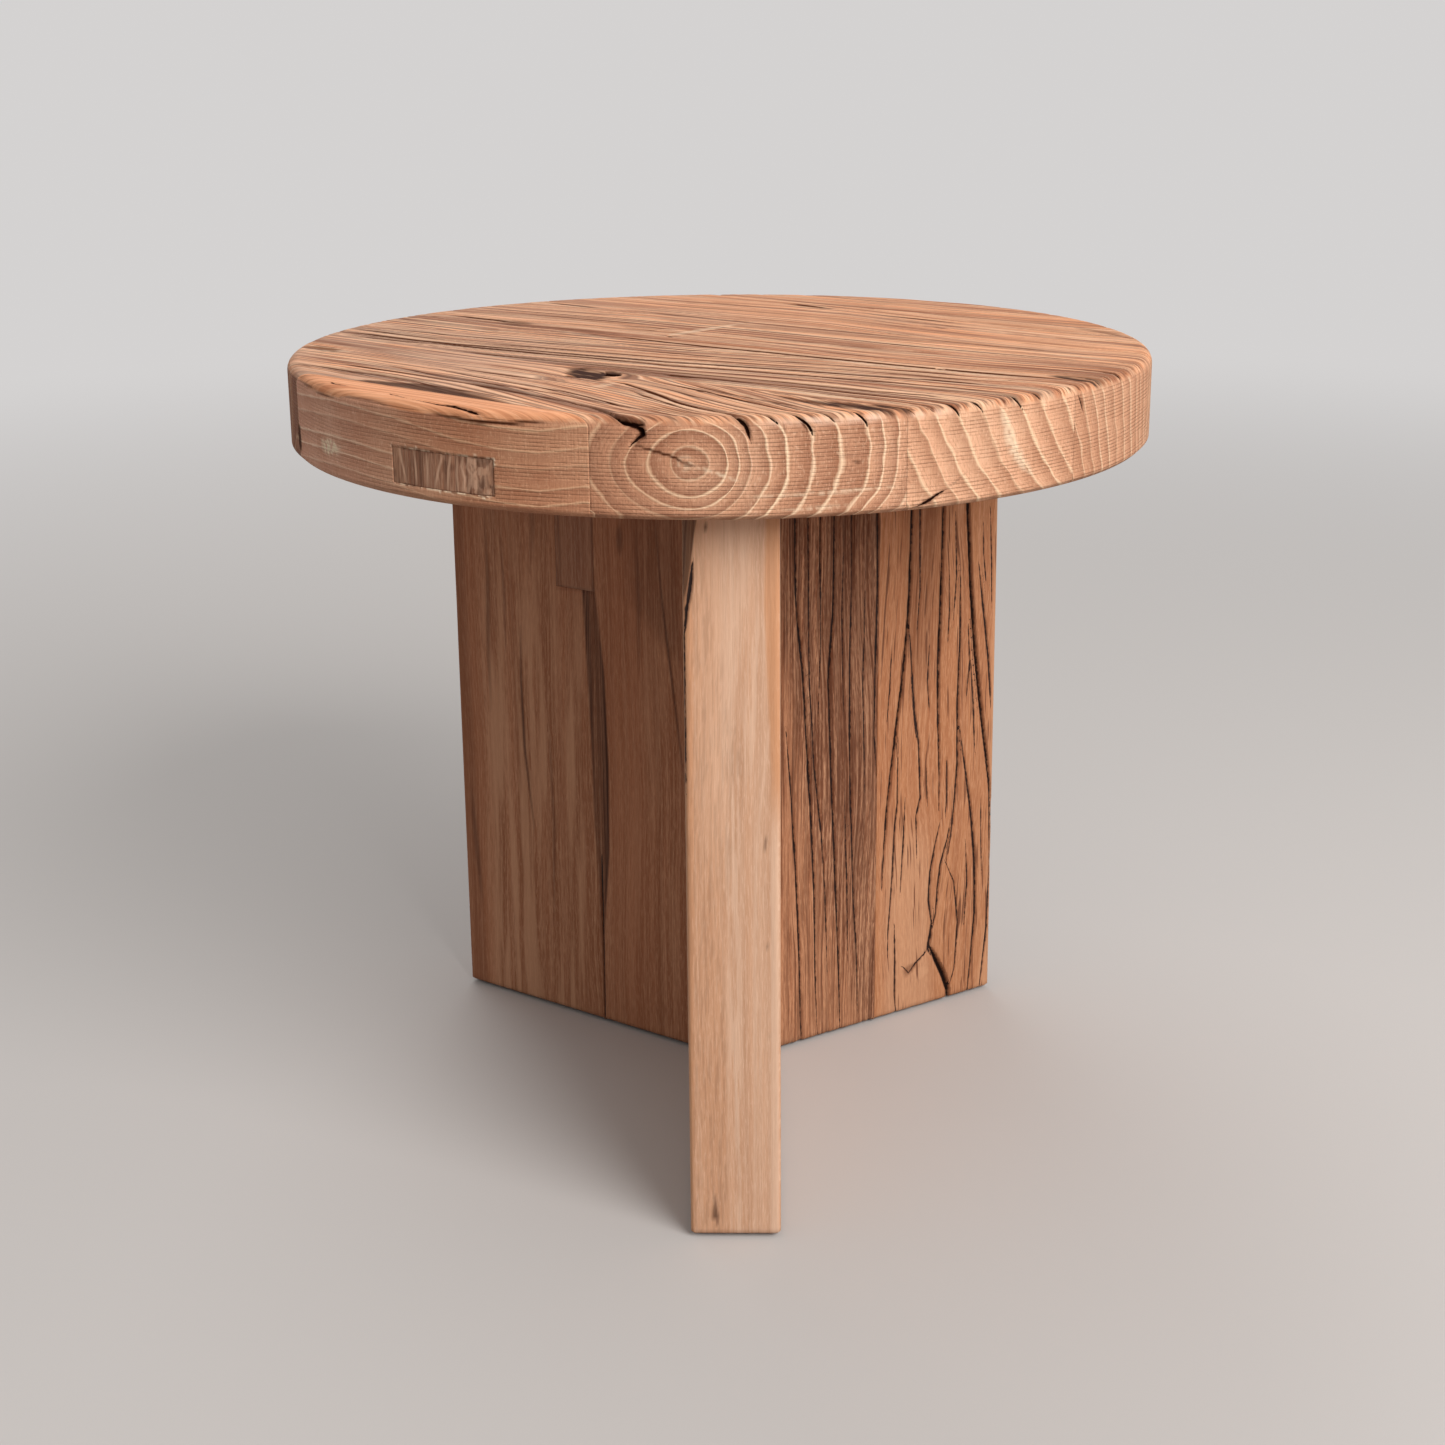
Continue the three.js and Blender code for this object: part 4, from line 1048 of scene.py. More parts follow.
def make_upright(node, corners, heights, turn, material, look):
    x, y, z, nx, ny = upright_slices(corners, heights, look.get("step", BLADE_STEP))
    seed = look["seed"]
    sway = look["wave"] * MM
    wave = sway * (noise(z / (170 * MM) + 20, x / (40 * MM) + y / (30 * MM) + 20, seed) - 0.5)
    wave = wave + 0.3 * sway * (grained(z, x, 55, 16, seed + 1, 1, shift=30) - 0.5)
    heart_x, heart_y, lean = look["heart"]
    gx, gy = x + wave, y + 0.6 * wave
    ring = np.hypot(gx - heart_x, gy - heart_y - lean * z)
    ring = ring + 3 * MM * (grained(ring, z, 12, 150, seed + 2, 1, shift=9) - 0.5)

    # The drawn face, its cracks, stains and tones
    face_x, face_y = look["face"]
    facing = smooth(0.3, 0.7, nx * face_x + ny * face_y)
    place = y if face_x else x
    cracks = scaled(look.get("cracks", []), MM)
    side, half, crack_depth = crack_field(place, z, cracks, look.get("margin", 1.2) * MM)
    stain = crack_field(place, z, scaled(look.get("stains", []), MM))[2] / MM
    dark, pale, warm = look.get("paint", paint_none)(place, z)

    # Relief of the fibres, and a small arris at the foot
    round_way = gx + 1.3 * gy
    fine = grained(z, round_way, 90, 1.5, seed + 3, 1)
    middle = grained(z, round_way, 120, 3.6, seed + 4)
    valley = smooth(0.45, 0.75, 0.5 * fine + 0.5 * middle)
    depth = look["relief"] * MM * valley + crack_depth * facing
    if look.get("foot", True):
        edge = fall(0, 3.5, z - heights[0])
        depth = depth + edge * FOOT_ARRIS * (z < heights[0] + 0.5 * FOOT_ARRIS)
    glue = (np.abs(x - JOINT_REACH) < 1 * MM) & (np.abs(y) < HALF_BLADE - 0.5 * MM)
    mitre = (x < 20 * MM) & (np.abs(ny) < 0.95)
    depth = np.where(glue | mitre, 0, depth)
    bare = x * 0
    if "carve" in look:
        x, y, bare = look["carve"](x, y, z)
    points = np.stack([x - depth * nx, y - depth * ny, z], axis=2)
    dark, pale, warm = np.maximum(dark * facing, bare), pale * facing * (1 - bare), warm * facing
    attributes = {
        "grain": np.stack([z, round_way, ring], axis=2),
        "groove": valley,
        "crack": np.stack([side, half * facing, stain * facing], axis=2),
        "tones": np.stack([dark, pale, warm], axis=2),
    }
    return wrapped_piece(f"{node}_wood", points, attributes, turn, material, [node])


def blade_turn(blade):
    return Matrix.Translation(BASE_SHIFT) @ Matrix.Rotation(AZIMUTH[blade], 4, "Z")


def make_blade_board(blade, board, material, look):
    usual = inner_corners() if board == "inner" else outer_corners(REACH[blade])
    corners, heights = look.get("corners", usual), look.get("heights", BLADE_ROWS)
    node = f"{blade}_blade_{board}_board"
    make_upright(node, corners, heights, blade_turn(blade), material, look)


# Filled notch and rim patch
NOTCH_LOOK = {"seed": 261, "wave": 3, "heart": (0.2, 0.3, 0), "relief": 0.15, "face": (0, 1), "foot": False,
              "paint": paint_notch, "stains": [(1.6, 0.6, [(115.4, 410), (114, 340), (113, 290)]),
                                               (1.6, 0.6, [(88.6, 410), (88.8, 340), (89, 290)])]}
PATCH_LOOK = {"seed": 271, "wave": 2, "heart": (0.3, 0.2, 0), "relief": 0.3, "face": (1, 0), "foot": False,
              "paint": paint_patch, "step": 0.55 * MM}


def make_notch_block(material):
    far, floor = NOTCH_END - GLUE_GAP, NOTCH_FLOOR + GLUE_GAP
    corners = [(NOTCH_START, floor), (far, floor), (far, HALF_BLADE), (NOTCH_START, HALF_BLADE)]
    heights = np.linspace(NOTCH_FOOT + GLUE_GAP, UNDER, 50)
    make_upright("left_blade_notch_block", corners, heights, blade_turn("left"), material,
                 NOTCH_LOOK)


def make_rim_patch(material):
    spread = math.asin(PATCH_HALF_LENGTH / RADIUS)
    front = arc(0, 0, RADIUS - 0.1 * MM, -spread, spread, 120)
    back = RADIUS - PATCH_DEPTH
    corners = [(back, -PATCH_HALF_LENGTH)] + front + [(back, PATCH_HALF_LENGTH)]
    heights = np.linspace(PATCH_MIDDLE - PATCH_HALF_HEIGHT, PATCH_MIDDLE + PATCH_HALF_HEIGHT, 37)
    turn = Matrix.Rotation(GRAIN_ANGLE + PATCH_ANGLE, 4, "Z")
    make_upright("rim_patch", corners, heights, turn, material, PATCH_LOOK)


# Shader nodes of one tree. Each call makes a node, fills its inputs and gives its output.
class Nodes:
    def __init__(self, tree):
        self.tree = tree

    def fill(self, sockets, values):
        for key, value in values.items():
            if isinstance(value, bpy.types.NodeSocket):
                self.tree.links.new(value, sockets[key])
            else:
                sockets[key].default_value = value

    def add(self, kind, inputs, **settings):
        made = self.tree.nodes.new("ShaderNode" + kind)
        for key, value in settings.items():
            setattr(made, key, value)
        self.fill(made.inputs, inputs)
        return made.outputs

    def maths(self, operation, *values, clamp=False):
        return self.add("Math", dict(enumerate(values)), operation=operation, use_clamp=clamp)[0]

    def times(self, first, second):
        return self.maths("MULTIPLY", first, second)

    def times_add(self, first, second, third):
        return self.maths("MULTIPLY_ADD", first, second, third)

    def largest(self, *values):
        return reduce(lambda first, second: self.maths("MAXIMUM", first, second), values)

    def off_middle(self, share):
        return self.maths("ABSOLUTE", self.maths("SUBTRACT", share, 0.5))

    def ramp(self, value, low, high, out_low=0, out_high=1):
        ends = {"Value": value, "From Min": low, "From Max": high, "To Min": out_low, "To Max": out_high}
        return self.add("MapRange", ends, interpolation_type="SMOOTHSTEP")["Result"]

    def mix(self, share, first, second, blend="MIX"):
        return self.add("Mix", {0: share, 6: first, 7: second}, data_type="RGBA", blend_type=blend,
                        clamp_factor=True)[2]

    def layers(self, base, *coats):
        """A colour with others laid over it one by one, each as (share, colour)."""
        return reduce(lambda under, coat: self.mix(coat[0], under, coat[1]), coats, base)

    def noise(self, vector, stretch, detail, roughness=0.5):
        moved = self.add("VectorMath", {0: vector, 1: stretch}, operation="MULTIPLY")[0]
        inputs = {"Vector": moved, "Scale": 1, "Detail": detail, "Roughness": roughness}
        return self.add("TexNoise", inputs)["Fac"]

    def white(self, value):
        return self.add("TexWhiteNoise", {"W": value}, noise_dimensions="1D")["Value"]

    def split(self, vector):
        return self.add("SeparateXYZ", {0: vector})

    def attribute(self, label):
        return self.add("Attribute", {}, attribute_name=label, attribute_type="GEOMETRY")

    def number(self, label):
        return self.attribute(label)["Fac"]

    def vector(self, label):
        return self.attribute(label)["Vector"]

    def place(self):
        return self.add("TexCoord", {})["Object"]

    def group(self, name, inputs):
        return self.add("Group", inputs, node_tree=GROUPS[name])

    def bump(self, height, strength, distance):
        return self.add("Bump", {"Height": height, "Strength": strength, "Distance": distance})["Normal"]


GROUPS = {}


def new_group(name, inputs, outputs):
    """The nodes of a new group, its inputs and its results. An input with no number is a vector."""
    tree = bpy.data.node_groups.new(name, "ShaderNodeTree")
    for label, value in inputs.items():
        kind = "NodeSocketVector" if value is None else "NodeSocketFloat"
        socket = tree.interface.new_socket(label, in_out="INPUT", socket_type=kind)
        if value is not None:
            socket.default_value = value
    for label in outputs:
        tree.interface.new_socket(label, in_out="OUTPUT", socket_type="NodeSocketFloat")
    GROUPS[name] = tree
    return Nodes(tree), tree.nodes.new("NodeGroupInput").outputs, tree.nodes.new("NodeGroupOutput").inputs


def new_material(name):
    material = bpy.data.materials.new(name)
    material.use_nodes = True
    tree = material.node_tree
    return material, Nodes(tree), tree.nodes["Principled BSDF"].inputs


# Growth rings: thin pale lines at even steps of the ring coordinate, and a tone between them
def make_ring_group():
    n, given, result = new_group("growth_rings", {"Grain": None, "Place": None, "Spacing": 0.01, "Line": 0.1},
                                 ["Line", "Tone", "Faint"])
    steps = n.maths("DIVIDE", n.split(given["Grain"])["Z"], given["Spacing"])
    share = n.maths("FRACT", steps)
    edge = n.maths("SUBTRACT", 0.5, n.off_middle(share))
    rough = n.noise(given["Place"], (110, 110, 110), 3, 0.65)
    wide = n.times(given["Line"], n.ramp(rough, 0.3, 0.7, 0.45, 1.7))
    line = n.maths("SUBTRACT", 1, n.maths("DIVIDE", edge, wide), clamp=True)
    strength = n.times_add(n.white(n.maths("ROUND", steps)), 0.6, 0.4)
    faint = n.ramp(n.off_middle(n.maths("FRACT", n.times(steps, 6))), 0.28, 0.5)
    n.fill(result, {"Line": n.times(line, strength), "Tone": share,
                    "Faint": n.times(faint, n.ramp(rough, 0.4, 0.6))})


# Kinds of streak along the grain: stretch along it and across it, detail, roughness
STREAKS = {"Fine": (45, 2600, 2, 0.6), "Fleck": (75, 900, 3, 0.65), "Streak": (7, 620, 3, 0.55),
           "Ridge": (3.5, 210, 2, 0.5), "Broad": (3, 95, 2, 0.5)}


def make_fibre_group():
    n, given, result = new_group("wood_fibres", {"Grain": None, "Seed": 0}, [*STREAKS, "Thread"])
    parts = n.split(given["Grain"])
    vector = n.add("CombineXYZ", {0: parts["X"], 1: parts["Y"], 2: given["Seed"]})[0]
    for label, (along, across, detail, roughness) in STREAKS.items():
        n.fill(result, {label: n.noise(vector, (along, across, 1), detail, roughness)})
    warp = n.noise(vector, (3, 60, 1), 2)
    steps = n.times_add(warp, 5, n.maths("DIVIDE", parts["Y"], 2.1 * MM))
    share = n.maths("FRACT", steps)
    which = n.white(n.maths("FLOOR", steps))
    patchy = n.noise(vector, (5, 300, 1), 1)
    thread = n.times(n.ramp(share, 0.5, 0.92), n.ramp(share, 0.95, 1, 1, 0))
    thread = n.times(n.times(thread, n.ramp(patchy, 0.35, 0.52)), n.times_add(which, 0.7, 0.3))
    n.fill(result, {"Thread": thread})


# Saw marks: fine level scratches at an even pitch on the end grain of the rim
def make_saw_group():
    n, given, result = new_group("saw_marks", {"Vector": None, "Pitch": 0.002}, ["Mark", "Speck"])
    place = given["Vector"]
    steps = n.maths("DIVIDE", n.split(place)["Z"], given["Pitch"])
    turns = n.times_add(n.noise(place, (12, 12, 40), 1), 1.5, steps)
    wave = n.maths("SINE", n.times(turns, 2 * math.pi))
    patchy = n.noise(place, (22, 22, 160), 3, 0.6)
    scratch = n.noise(place, (30, 30, 1400), 2)
    dotted = n.noise(place, (420, 420, 160), 1)
    mark = n.times(n.ramp(wave, -0.2, 1), n.ramp(patchy, 0.35, 0.6))
    mark = n.times(mark, n.ramp(dotted, 0.3, 0.55, 0.25, 1))
    mark = n.largest(mark, n.ramp(scratch, 0.58, 0.75, 0, 0.35))
    n.fill(result, {"Mark": mark, "Speck": n.noise(place, (900, 900, 420), 2, 0.7)})


# Cracks: sharp dark lines from the drawn distances, with slightly ragged edges, and a halo of painted shadow
# beside them
def make_crack_group():
    n, given, result = new_group("cracks", {"Crack": None, "Grain": None}, ["Mask", "ShadowHalo"])
    parts = n.split(given["Crack"])
    rough = n.noise(given["Grain"], (260, 260, 260), 2)
    away = n.maths("ADD", n.maths("ABSOLUTE", parts["X"]), n.ramp(rough, 0.2, 0.8, -0.25, 0.25))
    share = n.maths("DIVIDE", away, n.largest(parts["Y"], 0.01))
    open_here = n.ramp(parts["Y"], 0.02, 0.15)
    n.fill(result, {"Mask": n.times(n.ramp(share, 0.6, 1.1, 1, 0), open_here),
                    "ShadowHalo": n.times(n.ramp(share, 0.8, 2.6, 0.6, 0), open_here)})


def colour(red, green, blue):
    return (red, green, blue, 1)


BLACK = colour(0, 0, 0)
BLACK_SPLIT = colour(0.018, 0.006, 0.004)
CREAM = colour(0.9, 0.6, 0.4)
RING_CREAM = colour(0.97, 0.68, 0.44)
RIM_PALE = colour(0.98, 0.75, 0.53)
VALLEY = colour(0.13, 0.046, 0.022)
GROOVE_BROWN = colour(0.085, 0.026, 0.012)
WEATHERED_GREY = colour(0.68, 0.41, 0.28)
SMEAR = colour(0.07, 0.039, 0.032)
SLIVER = colour(0.93, 0.44, 0.23)
SLIVER_DARK = colour(0.66, 0.26, 0.12)
# Brown of the painted shadow beside cracks, and of the small checks in split wood
CRACK_SHADE_AND_CHECKS = colour(0.16, 0.055, 0.025)
# Colour of the painted highlight on the arris
ARRIS_HIGHLIGHT = colour(0.95, 0.72, 0.58)
FACE_BASE = colour(0.92, 0.425, 0.222)
FACE_DARK = colour(0.46, 0.18, 0.09)
FACE_PALE = colour(0.98, 0.61, 0.385)

# Width of a ring line, as a share of the step between two lines, on the rim and on the blades
RIM_RING_LINE = 0.095
BLADE_RING_LINE = 0.16
SAW_PITCH = 1.9 * MM

# End grain of each board: light, dark, strength of the ring lines and of the saw marks
RIM_LOOKS = {
    1: (colour(0.6, 0.285, 0.165), colour(0.44, 0.19, 0.105), 0.6, 0.1),
    2: (colour(0.68, 0.345, 0.2), colour(0.35, 0.145, 0.075), 1.15, 0.2),
    3: (colour(0.88, 0.48, 0.295), colour(0.46, 0.21, 0.115), 1, 0.55),
    4: (colour(0.74, 0.38, 0.225), colour(0.44, 0.2, 0.11), 0.8, 0.5),
    5: (colour(0.66, 0.33, 0.19), colour(0.42, 0.19, 0.105), 0.8, 0.5),
    6: (colour(0.62, 0.31, 0.18), colour(0.4, 0.18, 0.1), 0.8, 0.5),
}

# Boards whose rim gets painted light and shade round it, over some real change of tone: board 1 is painted
# lighter at its left end, board 2 darker at its left end. From and to in degrees round the rim, tint at each
# end
RIM_PAINTED_LIGHT_AND_TONE = {1: (-112, -78, colour(1.35, 1.47, 1.68), colour(1, 0.93, 0.87)),
             2: (-62, -46, colour(0.86, 0.75, 0.71), colour(1.1, 1.13, 1.17))}


def make_top_material(number):
    rim_base, rim_dark, ring_strength, saw_strength = RIM_LOOKS[number]
    contrast = FACE_CONTRAST[number]
    material, n, surface = new_material(f"top_wood_{number}")
    grain, crack = n.vector("grain"), n.vector("crack")
    marks, tints = n.split(n.vector("marks")), n.split(n.vector("tints"))
    brushed, fibre, arris_highlight = n.number("brushed"), n.number("fibre"), n.number("arris_highlight")
    place = n.place()
    rings = n.group("growth_rings", {"Grain": grain, "Place": place, "Spacing": 1, "Line": RIM_RING_LINE})
    fibres = n.group("wood_fibres", {"Grain": grain, "Seed": 3.1 * number})
    saw = n.group("saw_marks", {"Vector": place, "Pitch": SAW_PITCH})
    cracks = n.group("cracks", {"Crack": crack, "Grain": place})
    fine, streak, ridge = fibres["Fine"], fibres["Streak"], fibres["Ridge"]

    # End grain of the rim
    cloud = n.noise(place, (14, 14, 14), 3)
    rim = n.layers(
        rim_base,
        (n.ramp(rings["Tone"], 0.1, 1, 0, 0.85), rim_dark),
        (n.ramp(cloud, 0.4, 0.7, 0, 0.3), CREAM),
        (n.ramp(cloud, 0.3, 0.5, 0.35, 0), rim_dark),
        (n.times(saw["Mark"], saw_strength), rim_dark),
        (n.ramp(saw["Speck"], 0.5, 0.75, 0, 0.5), rim_dark),
        (n.ramp(saw["Speck"], 0.3, 0.46, 0.3, 0), CREAM),
        (n.times(rings["Faint"], 0.32), rim_dark),
        (n.times(rings["Line"], ring_strength), RING_CREAM))
    # Painted light and shade round the rim of boards 1 and 2, multiplied into its colour
    if number in RIM_PAINTED_LIGHT_AND_TONE:
        first, last, left, right = RIM_PAINTED_LIGHT_AND_TONE[number]
        rim = n.mix(1, rim, n.mix(n.ramp(n.split(crack)["Z"], first, last), left, right), "MULTIPLY")
    rim = n.mix(n.times(tints["Y"], 0.8), rim, RIM_PALE)

    # Brushed face: pale ridges and dark valleys
    bare = n.layers(
        SLIVER_DARK,
        (n.ramp(streak, 0.35, 0.62), SLIVER),
        (n.ramp(fine, 0.55, 0.75, 0, 0.5), CREAM))
    face = n.layers(
        FACE_DARK,
        (n.ramp(fibres["Broad"], 0.36, 0.6), FACE_BASE),
        (n.ramp(ridge, 0.36, 0.47, 0.7 * contrast, 0), VALLEY),
        (n.ramp(ridge, 0.52, 0.64, 0, 0.9 * contrast), FACE_PALE),
        (n.ramp(streak, 0.5, 0.66, 0, 0.8), FACE_PALE),
        (n.ramp(streak, 0.33, 0.46, 0.6 * contrast, 0), VALLEY),
        (n.times(fibres["Thread"], n.ramp(brushed, 0.6, 1, 0.2, contrast)), VALLEY),
        (n.times(tints["X"], 0.6), WEATHERED_GREY),
        (n.ramp(fine, 0.5, 0.75, 0, 0.6), FACE_DARK),
        (n.times(tints["Y"], 0.85), CREAM),
        (n.ramp(fibre, 0.1, 0.8, 0, 0.9 * contrast), VALLEY),
        (tints["Z"], bare))
    whole = n.layers(
        rim,
        (n.largest(brushed, tints["Z"]), face),
        # Painted highlight on the arris at the front right
        (n.times(arris_highlight, n.ramp(fine, 0.3, 0.7, 0.4, 1)), ARRIS_HIGHLIGHT),
        (n.times(marks["Z"], 0.88), SMEAR),
        (n.ramp(marks["X"], 0.04, 0.6), GROOVE_BROWN),
        (n.ramp(marks["Y"], 0.15, 0.6), BLACK_SPLIT),
        # Painted shadow beside the cracks, then the cracks themselves
        (cracks["ShadowHalo"], CRACK_SHADE_AND_CHECKS),
        (cracks["Mask"], BLACK_SPLIT))
    opened = n.largest(marks["X"], marks["Y"], cracks["Mask"], marks["Z"])
    rough_rim = n.times(saw["Mark"], n.maths("SUBTRACT", 1, brushed))
    height = n.times_add(fine, 0.6, n.times(rough_rim, -1))
    height = n.times_add(rings["Line"], 0.4, height)
    height = n.times_add(streak, n.times(brushed, 1.6), height)
    n.fill(surface, {"Base Color": whole, "Roughness": n.ramp(streak, 0.3, 0.7, 0.85, 0.65),
                     "Specular IOR Level": n.ramp(opened, 0.1, 0.6, 0.25, 0),
                     "Normal": n.bump(height, 0.7, 0.5 * MM)})
    return material


# Woods of the blades and blocks: base, dark, pale, stain and warm colours, ring spacing in
# millimetres, seed, and how strong each kind of mark is
# On the left blade the stain colour also lays painted shade, and the pale colour painted light.
WOODS = {
    "patch_wood": ((0.54, 0.27, 0.155), (0.36, 0.16, 0.09), (0.8, 0.5, 0.34), (0.13, 0.05, 0.026),
                   (0.34, 0.13, 0.065), 5, 4, {"streak": 0.3}),
    "front_wood": ((0.79, 0.45, 0.28), (0.67, 0.365, 0.22), (0.92, 0.61, 0.43), (0.1, 0.038, 0.018),
                   (0.72, 0.33, 0.155), 11, 2, {"line": 0.1, "streak": 0.3, "pore": 0.4}),
    "left_wood": ((0.5, 0.212, 0.11), (0.34, 0.13, 0.06), (0.66, 0.345, 0.2), (0.06, 0.019, 0.009),
                  (0.46, 0.17, 0.08), 12, 5, {"line": 0.5, "fleck": 0.5, "pore": 0.35}),
    "weathered_wood": ((0.4, 0.165, 0.082), (0.21, 0.078, 0.037), (0.66, 0.35, 0.2), (0.1, 0.033, 0.015),
                       (0.6, 0.26, 0.125), 9, 7,
                       {"streak": 0.8, "valley": 0.4, "fleck": 0.8, "pore": 0.6, "hair": 0.6}),
    "split_wood": ((0.56, 0.25, 0.12), (0.38, 0.15, 0.07), (0.74, 0.4, 0.23), (0.17, 0.055, 0.022),
                   (0.56, 0.22, 0.09), 10, 9, {"tick": 0.85, "fleck": 0.5, "pore": 0.4}),
}
USUAL_MARKS = {"line": 0.3, "streak": 0.5, "valley": 0, "tick": 0, "fleck": 0.4, "pore": 0.3, "hair": 0}


def make_wood(name):
    *colours, spacing, seed, marks = WOODS[name]
    base, dark, pale, stain, warm = [colour(*parts) for parts in colours]
    marks = USUAL_MARKS | marks
    material, n, surface = new_material(name)
    grain, crack = n.vector("grain"), n.vector("crack")
    tones = n.split(n.vector("tones"))
    rings = n.group("growth_rings", {"Grain": grain, "Place": grain, "Spacing": spacing * MM,
                                     "Line": BLADE_RING_LINE})
    fibres = n.group("wood_fibres", {"Grain": grain, "Seed": seed})
    cracks = n.group("cracks", {"Crack": crack, "Grain": grain})
    fine, streak, fleck = fibres["Fine"], fibres["Streak"], fibres["Fleck"]
    pore = n.noise(grain, (170, 1500, 1), 1)
    coats = [(n.ramp(fibres["Broad"], 0.3, 0.7), base),
             (n.ramp(streak, 0.42, 0.68, 0, marks["streak"]), pale),
             (n.ramp(fine, 0.5, 0.8, 0, 0.4), dark),
             (n.ramp(fleck, 0.36, 0.5, marks["fleck"], 0), dark),
             (n.ramp(fleck, 0.52, 0.66, 0, marks["fleck"]), pale),
             (n.ramp(pore, 0.56, 0.66, 0, marks["pore"]), dark),
             (n.ramp(pore, 0.34, 0.44, marks["pore"], 0), pale)]
    if marks["hair"]:
        hair = n.noise(grain, (9, 1000, 1), 2)
        coats += [(n.ramp(hair, 0.37, 0.46, marks["hair"], 0), VALLEY),
                  (n.ramp(hair, 0.56, 0.66, 0, marks["hair"]), pale)]
    # Tones: on the left blade the pale tone holds painted light, and the dark tone, laid in the stain colour,
    # holds painted shade of the tabletop
    coats += [(n.times(rings["Line"], marks["line"]), dark),
              (n.times(tones["Y"], 0.7), pale),
              (n.times(tones["Z"], 0.7), warm),
              (n.times(tones["X"], n.ramp(streak, 0.4, 0.62, 0.9, 0.6)), stain)]
    if marks["valley"]:
        coats += [(n.ramp(n.number("groove"), 0.1, 0.9, 0, marks["valley"]), VALLEY),
                  (n.ramp(streak, 0.32, 0.46, 0.8, 0), VALLEY)]
    if marks["tick"]:
        tick = n.noise(grain, (24, 520, 1), 1)
        coats += [(n.ramp(tick, 0.62, 0.7, 0, marks["tick"]), CRACK_SHADE_AND_CHECKS)]
    coats += [(n.times(n.split(crack)["Z"], 0.9), stain),
              # Painted shadow beside the cracks, then the cracks themselves
              (cracks["ShadowHalo"], CRACK_SHADE_AND_CHECKS),
              (cracks["Mask"], BLACK_SPLIT)]
    height = n.times_add(streak, 0.8, n.times_add(rings["Line"], -0.4, fine))
    n.fill(surface, {"Base Color": n.layers(dark, *coats), "Specular IOR Level": 0.3,
                     "Roughness": n.ramp(streak, 0.3, 0.7, 0.82, 0.62),
                     "Normal": n.bump(height, 0.5, 0.35 * MM)})
    return material


# Joinery and pads keep their CAD shapes and get a finish of their own
def make_beech():
    material, n, surface = new_material("beech_joinery")
    streak = n.noise(n.place(), (900, 900, 18), 3)
    body = n.mix(n.ramp(streak, 0.35, 0.7), colour(0.6, 0.4, 0.25), colour(0.72, 0.53, 0.36))
    n.fill(surface, {"Base Color": body, "Roughness": n.ramp(streak, 0.3, 0.7, 0.7, 0.55)})
    return material


def make_felt():
    material, n, surface = new_material("dark_felt")
    fuzz = n.noise(n.place(), (2200, 2200, 2200), 3)
    body = n.mix(fuzz, colour(0.012, 0.01, 0.009), colour(0.045, 0.038, 0.034))
    n.fill(surface, {"Base Color": body, "Roughness": 0.95, "Normal": n.bump(fuzz, 0.6, 0.3 * MM)})
    return material


def finish_cad_nodes():
    beech = make_beech()
    finishes = {"dowel": beech, "tenon": beech, "pad": make_felt()}
    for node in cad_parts:
        for word, finish in finishes.items():
            if word in node:
                for slot in bpy.data.objects[node].material_slots:
                    slot.material = finish


# Floor, backdrop and light. To the camera the floor fades into a pale background far off.
FLOOR_PALE = colour(0.6, 0.58, 0.57)
FLOOR_SHADE = colour(0.26, 0.245, 0.235)
FAR_PALE = colour(0.66, 0.645, 0.64)
SKY_SHADE = colour(0.42, 0.41, 0.4)
FLOOR_HALF = 8

# Lamps: direction and height in degrees, distance, size, power, tint
LAMPS = {"key_light": (-50, 33, 2.6, 1.7, 58, (1, 0.97, 0.94)),
         "back_fill": (115, 52, 3, 2.2, 24, (1, 0.98, 0.96))}
LIT_POINT = Vector((0, 0, 0.3))


def seen_directly(n):
    path = n.add("LightPath", {})
    return n.largest(path["Is Camera Ray"], path["Is Glossy Ray"], path["Is Transmission Ray"])


def make_stage():
    material, n, surface = new_material("pale_floor")
    seen = seen_directly(n)
    away = n.add("VectorMath", {0: n.place()}, operation="LENGTH")["Value"]
    far = n.times(seen, n.ramp(away, 0.5, 3.2))
    shade = n.layers(FLOOR_SHADE, (seen, FLOOR_PALE), (far, BLACK))
    n.fill(surface, {"Base Color": shade, "Roughness": 0.9, "Specular IOR Level": 0,
                     "Emission Strength": 1, "Emission Color": n.mix(far, BLACK, FAR_PALE)})
    shape = bmesh.new()
    bmesh.ops.create_grid(shape, x_segments=1, y_segments=1, size=FLOOR_HALF)
    mesh = bpy.data.meshes.new("floor")
    shape.to_mesh(mesh)
    shape.free()
    mesh.materials.append(material)
    floor = bpy.data.objects.new("floor", mesh)
    bpy.context.scene.collection.objects.link(floor)


def make_lamp(name, azimuth, elevation, distance, size, power, tint):
    data = bpy.data.lights.new(name, "AREA")
    data.shape = "DISK"
    data.size = size
    data.energy = power
    data.color = tint
    lamp = bpy.data.objects.new(name, data)
    turn, lift = math.radians(azimuth), math.radians(elevation)
    away = Vector((math.cos(turn) * math.cos(lift), math.sin(turn) * math.cos(lift), math.sin(lift)))
    lamp.location = LIT_POINT + away * distance
    lamp.rotation_euler = (-away).to_track_quat("-Z", "Y").to_euler()
    bpy.context.scene.collection.objects.link(lamp)


def make_light():
    for name, settings in LAMPS.items():
        make_lamp(name, *settings)
    world = bpy.data.worlds.new("studio")
    world.use_nodes = True
    n = Nodes(world.node_tree)
    shade = n.mix(seen_directly(n), SKY_SHADE, FAR_PALE)
    n.fill(n.tree.nodes["Background"].inputs, {"Color": shade})
    bpy.context.scene.world = world
    bpy.context.scene.view_settings.view_transform = "Standard"


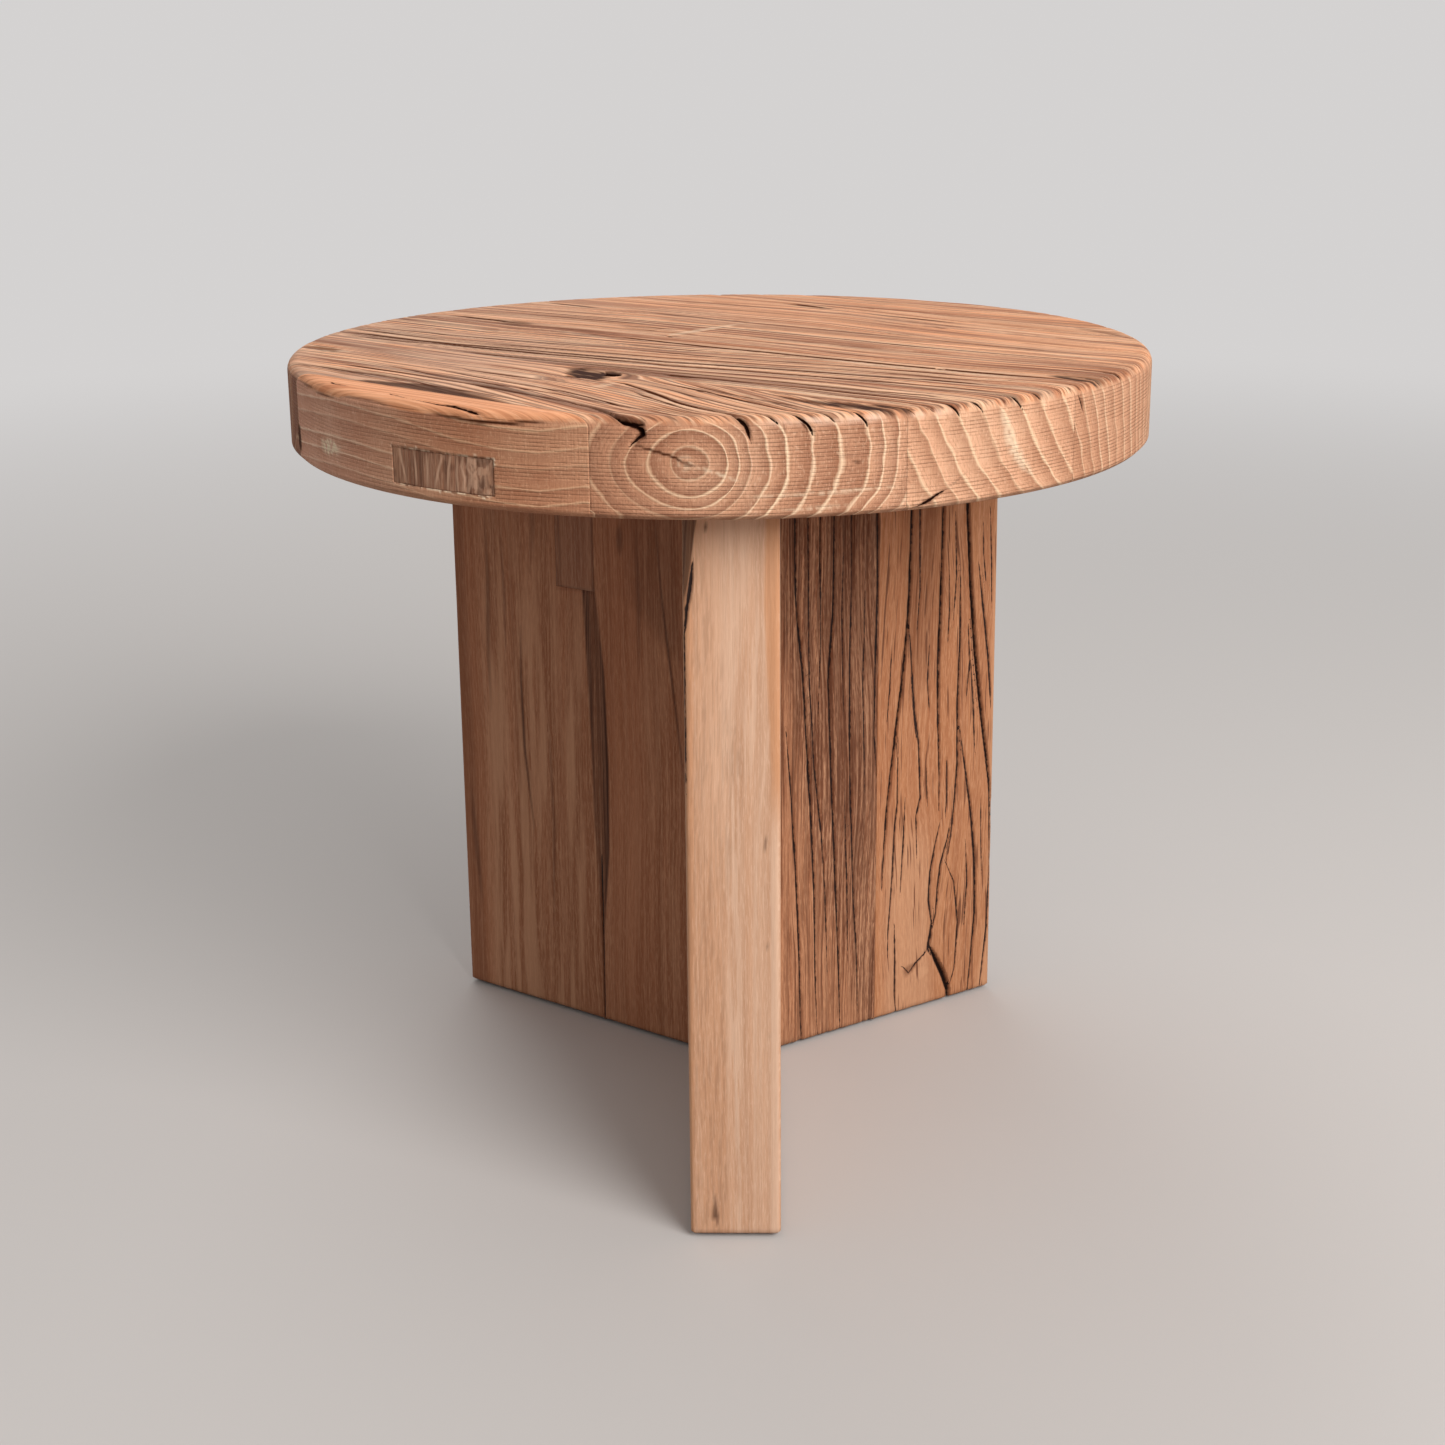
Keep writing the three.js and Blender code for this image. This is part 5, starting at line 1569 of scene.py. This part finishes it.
# Boards of the blades: wood, slot, and how each is shaped, carved and drawn
BLADE_BOARDS = [
    ("front", "inner", "front_wood", "planed_wood",
     {"seed": 201, "wave": 4, "heart": (0.3, 0.2, 0), "relief": 0.1, "face": (0, 1)}),
    ("front", "outer", "front_wood", "planed_wood",
     {"seed": 211, "wave": 4, "heart": (0.5, 0.25, 0), "relief": 0.1, "face": (1, 0),
      "cracks": FRONT_CRACKS, "stains": FRONT_STAINS, "paint": paint_front, "carve": carve_wane}),
    ("left", "inner", "left_wood", "planed_wood",
     {"seed": 221, "wave": 5, "heart": (-0.1, -0.12, 0), "relief": 0.12, "face": (0, 1),
      "cracks": LEFT_INNER_CRACKS, "stains": LEFT_INNER_STAINS, "paint": paint_left_inner}),
    ("left", "outer", "left_wood", "planed_wood",
     {"seed": 231, "wave": 5, "heart": (0.3, -0.15, 0), "relief": 0.12, "face": (0, 1),
      "stains": LEFT_OUTER_STAINS, "paint": paint_left_outer, "carve": carve_notch,
      "corners": notched_corners(REACH["left"]), "heights": NOTCHED_ROWS}),
    ("right", "inner", "weathered_wood", "weathered_wood",
     {"seed": 241, "wave": 5, "heart": (0, 0.2, 0), "relief": 0.9, "face": (0, -1),
      "cracks": finer(RIGHT_INNER_CRACKS, 0.7), "paint": paint_right_inner}),
    ("right", "outer", "split_wood", "split_wood",
     {"seed": 251, "wave": 8, "heart": (0.3, 0.2, 0), "relief": 0.25, "face": (0, -1),
      "cracks": finer(RIGHT_OUTER_CRACKS, 0.78), "paint": paint_right_outer, "margin": 1.6,
      "carve": draw_in, "heights": FINE_ROWS}),
]

# Build everything
make_camera()
make_stage()
make_light()
make_ring_group()
make_fibre_group()
make_saw_group()
make_crack_group()
finish_cad_nodes()
for number, (low, high) in enumerate(board_edges(), start=1):
    make_top_board(number, low, high, make_top_material(number))
woods = {name: make_wood(name) for name in WOODS}
make_rim_patch(woods["patch_wood"])
make_notch_block(woods["patch_wood"])
for blade, board, wood, slot, look in BLADE_BOARDS:
    make_blade_board(blade, board, woods[wood], look)
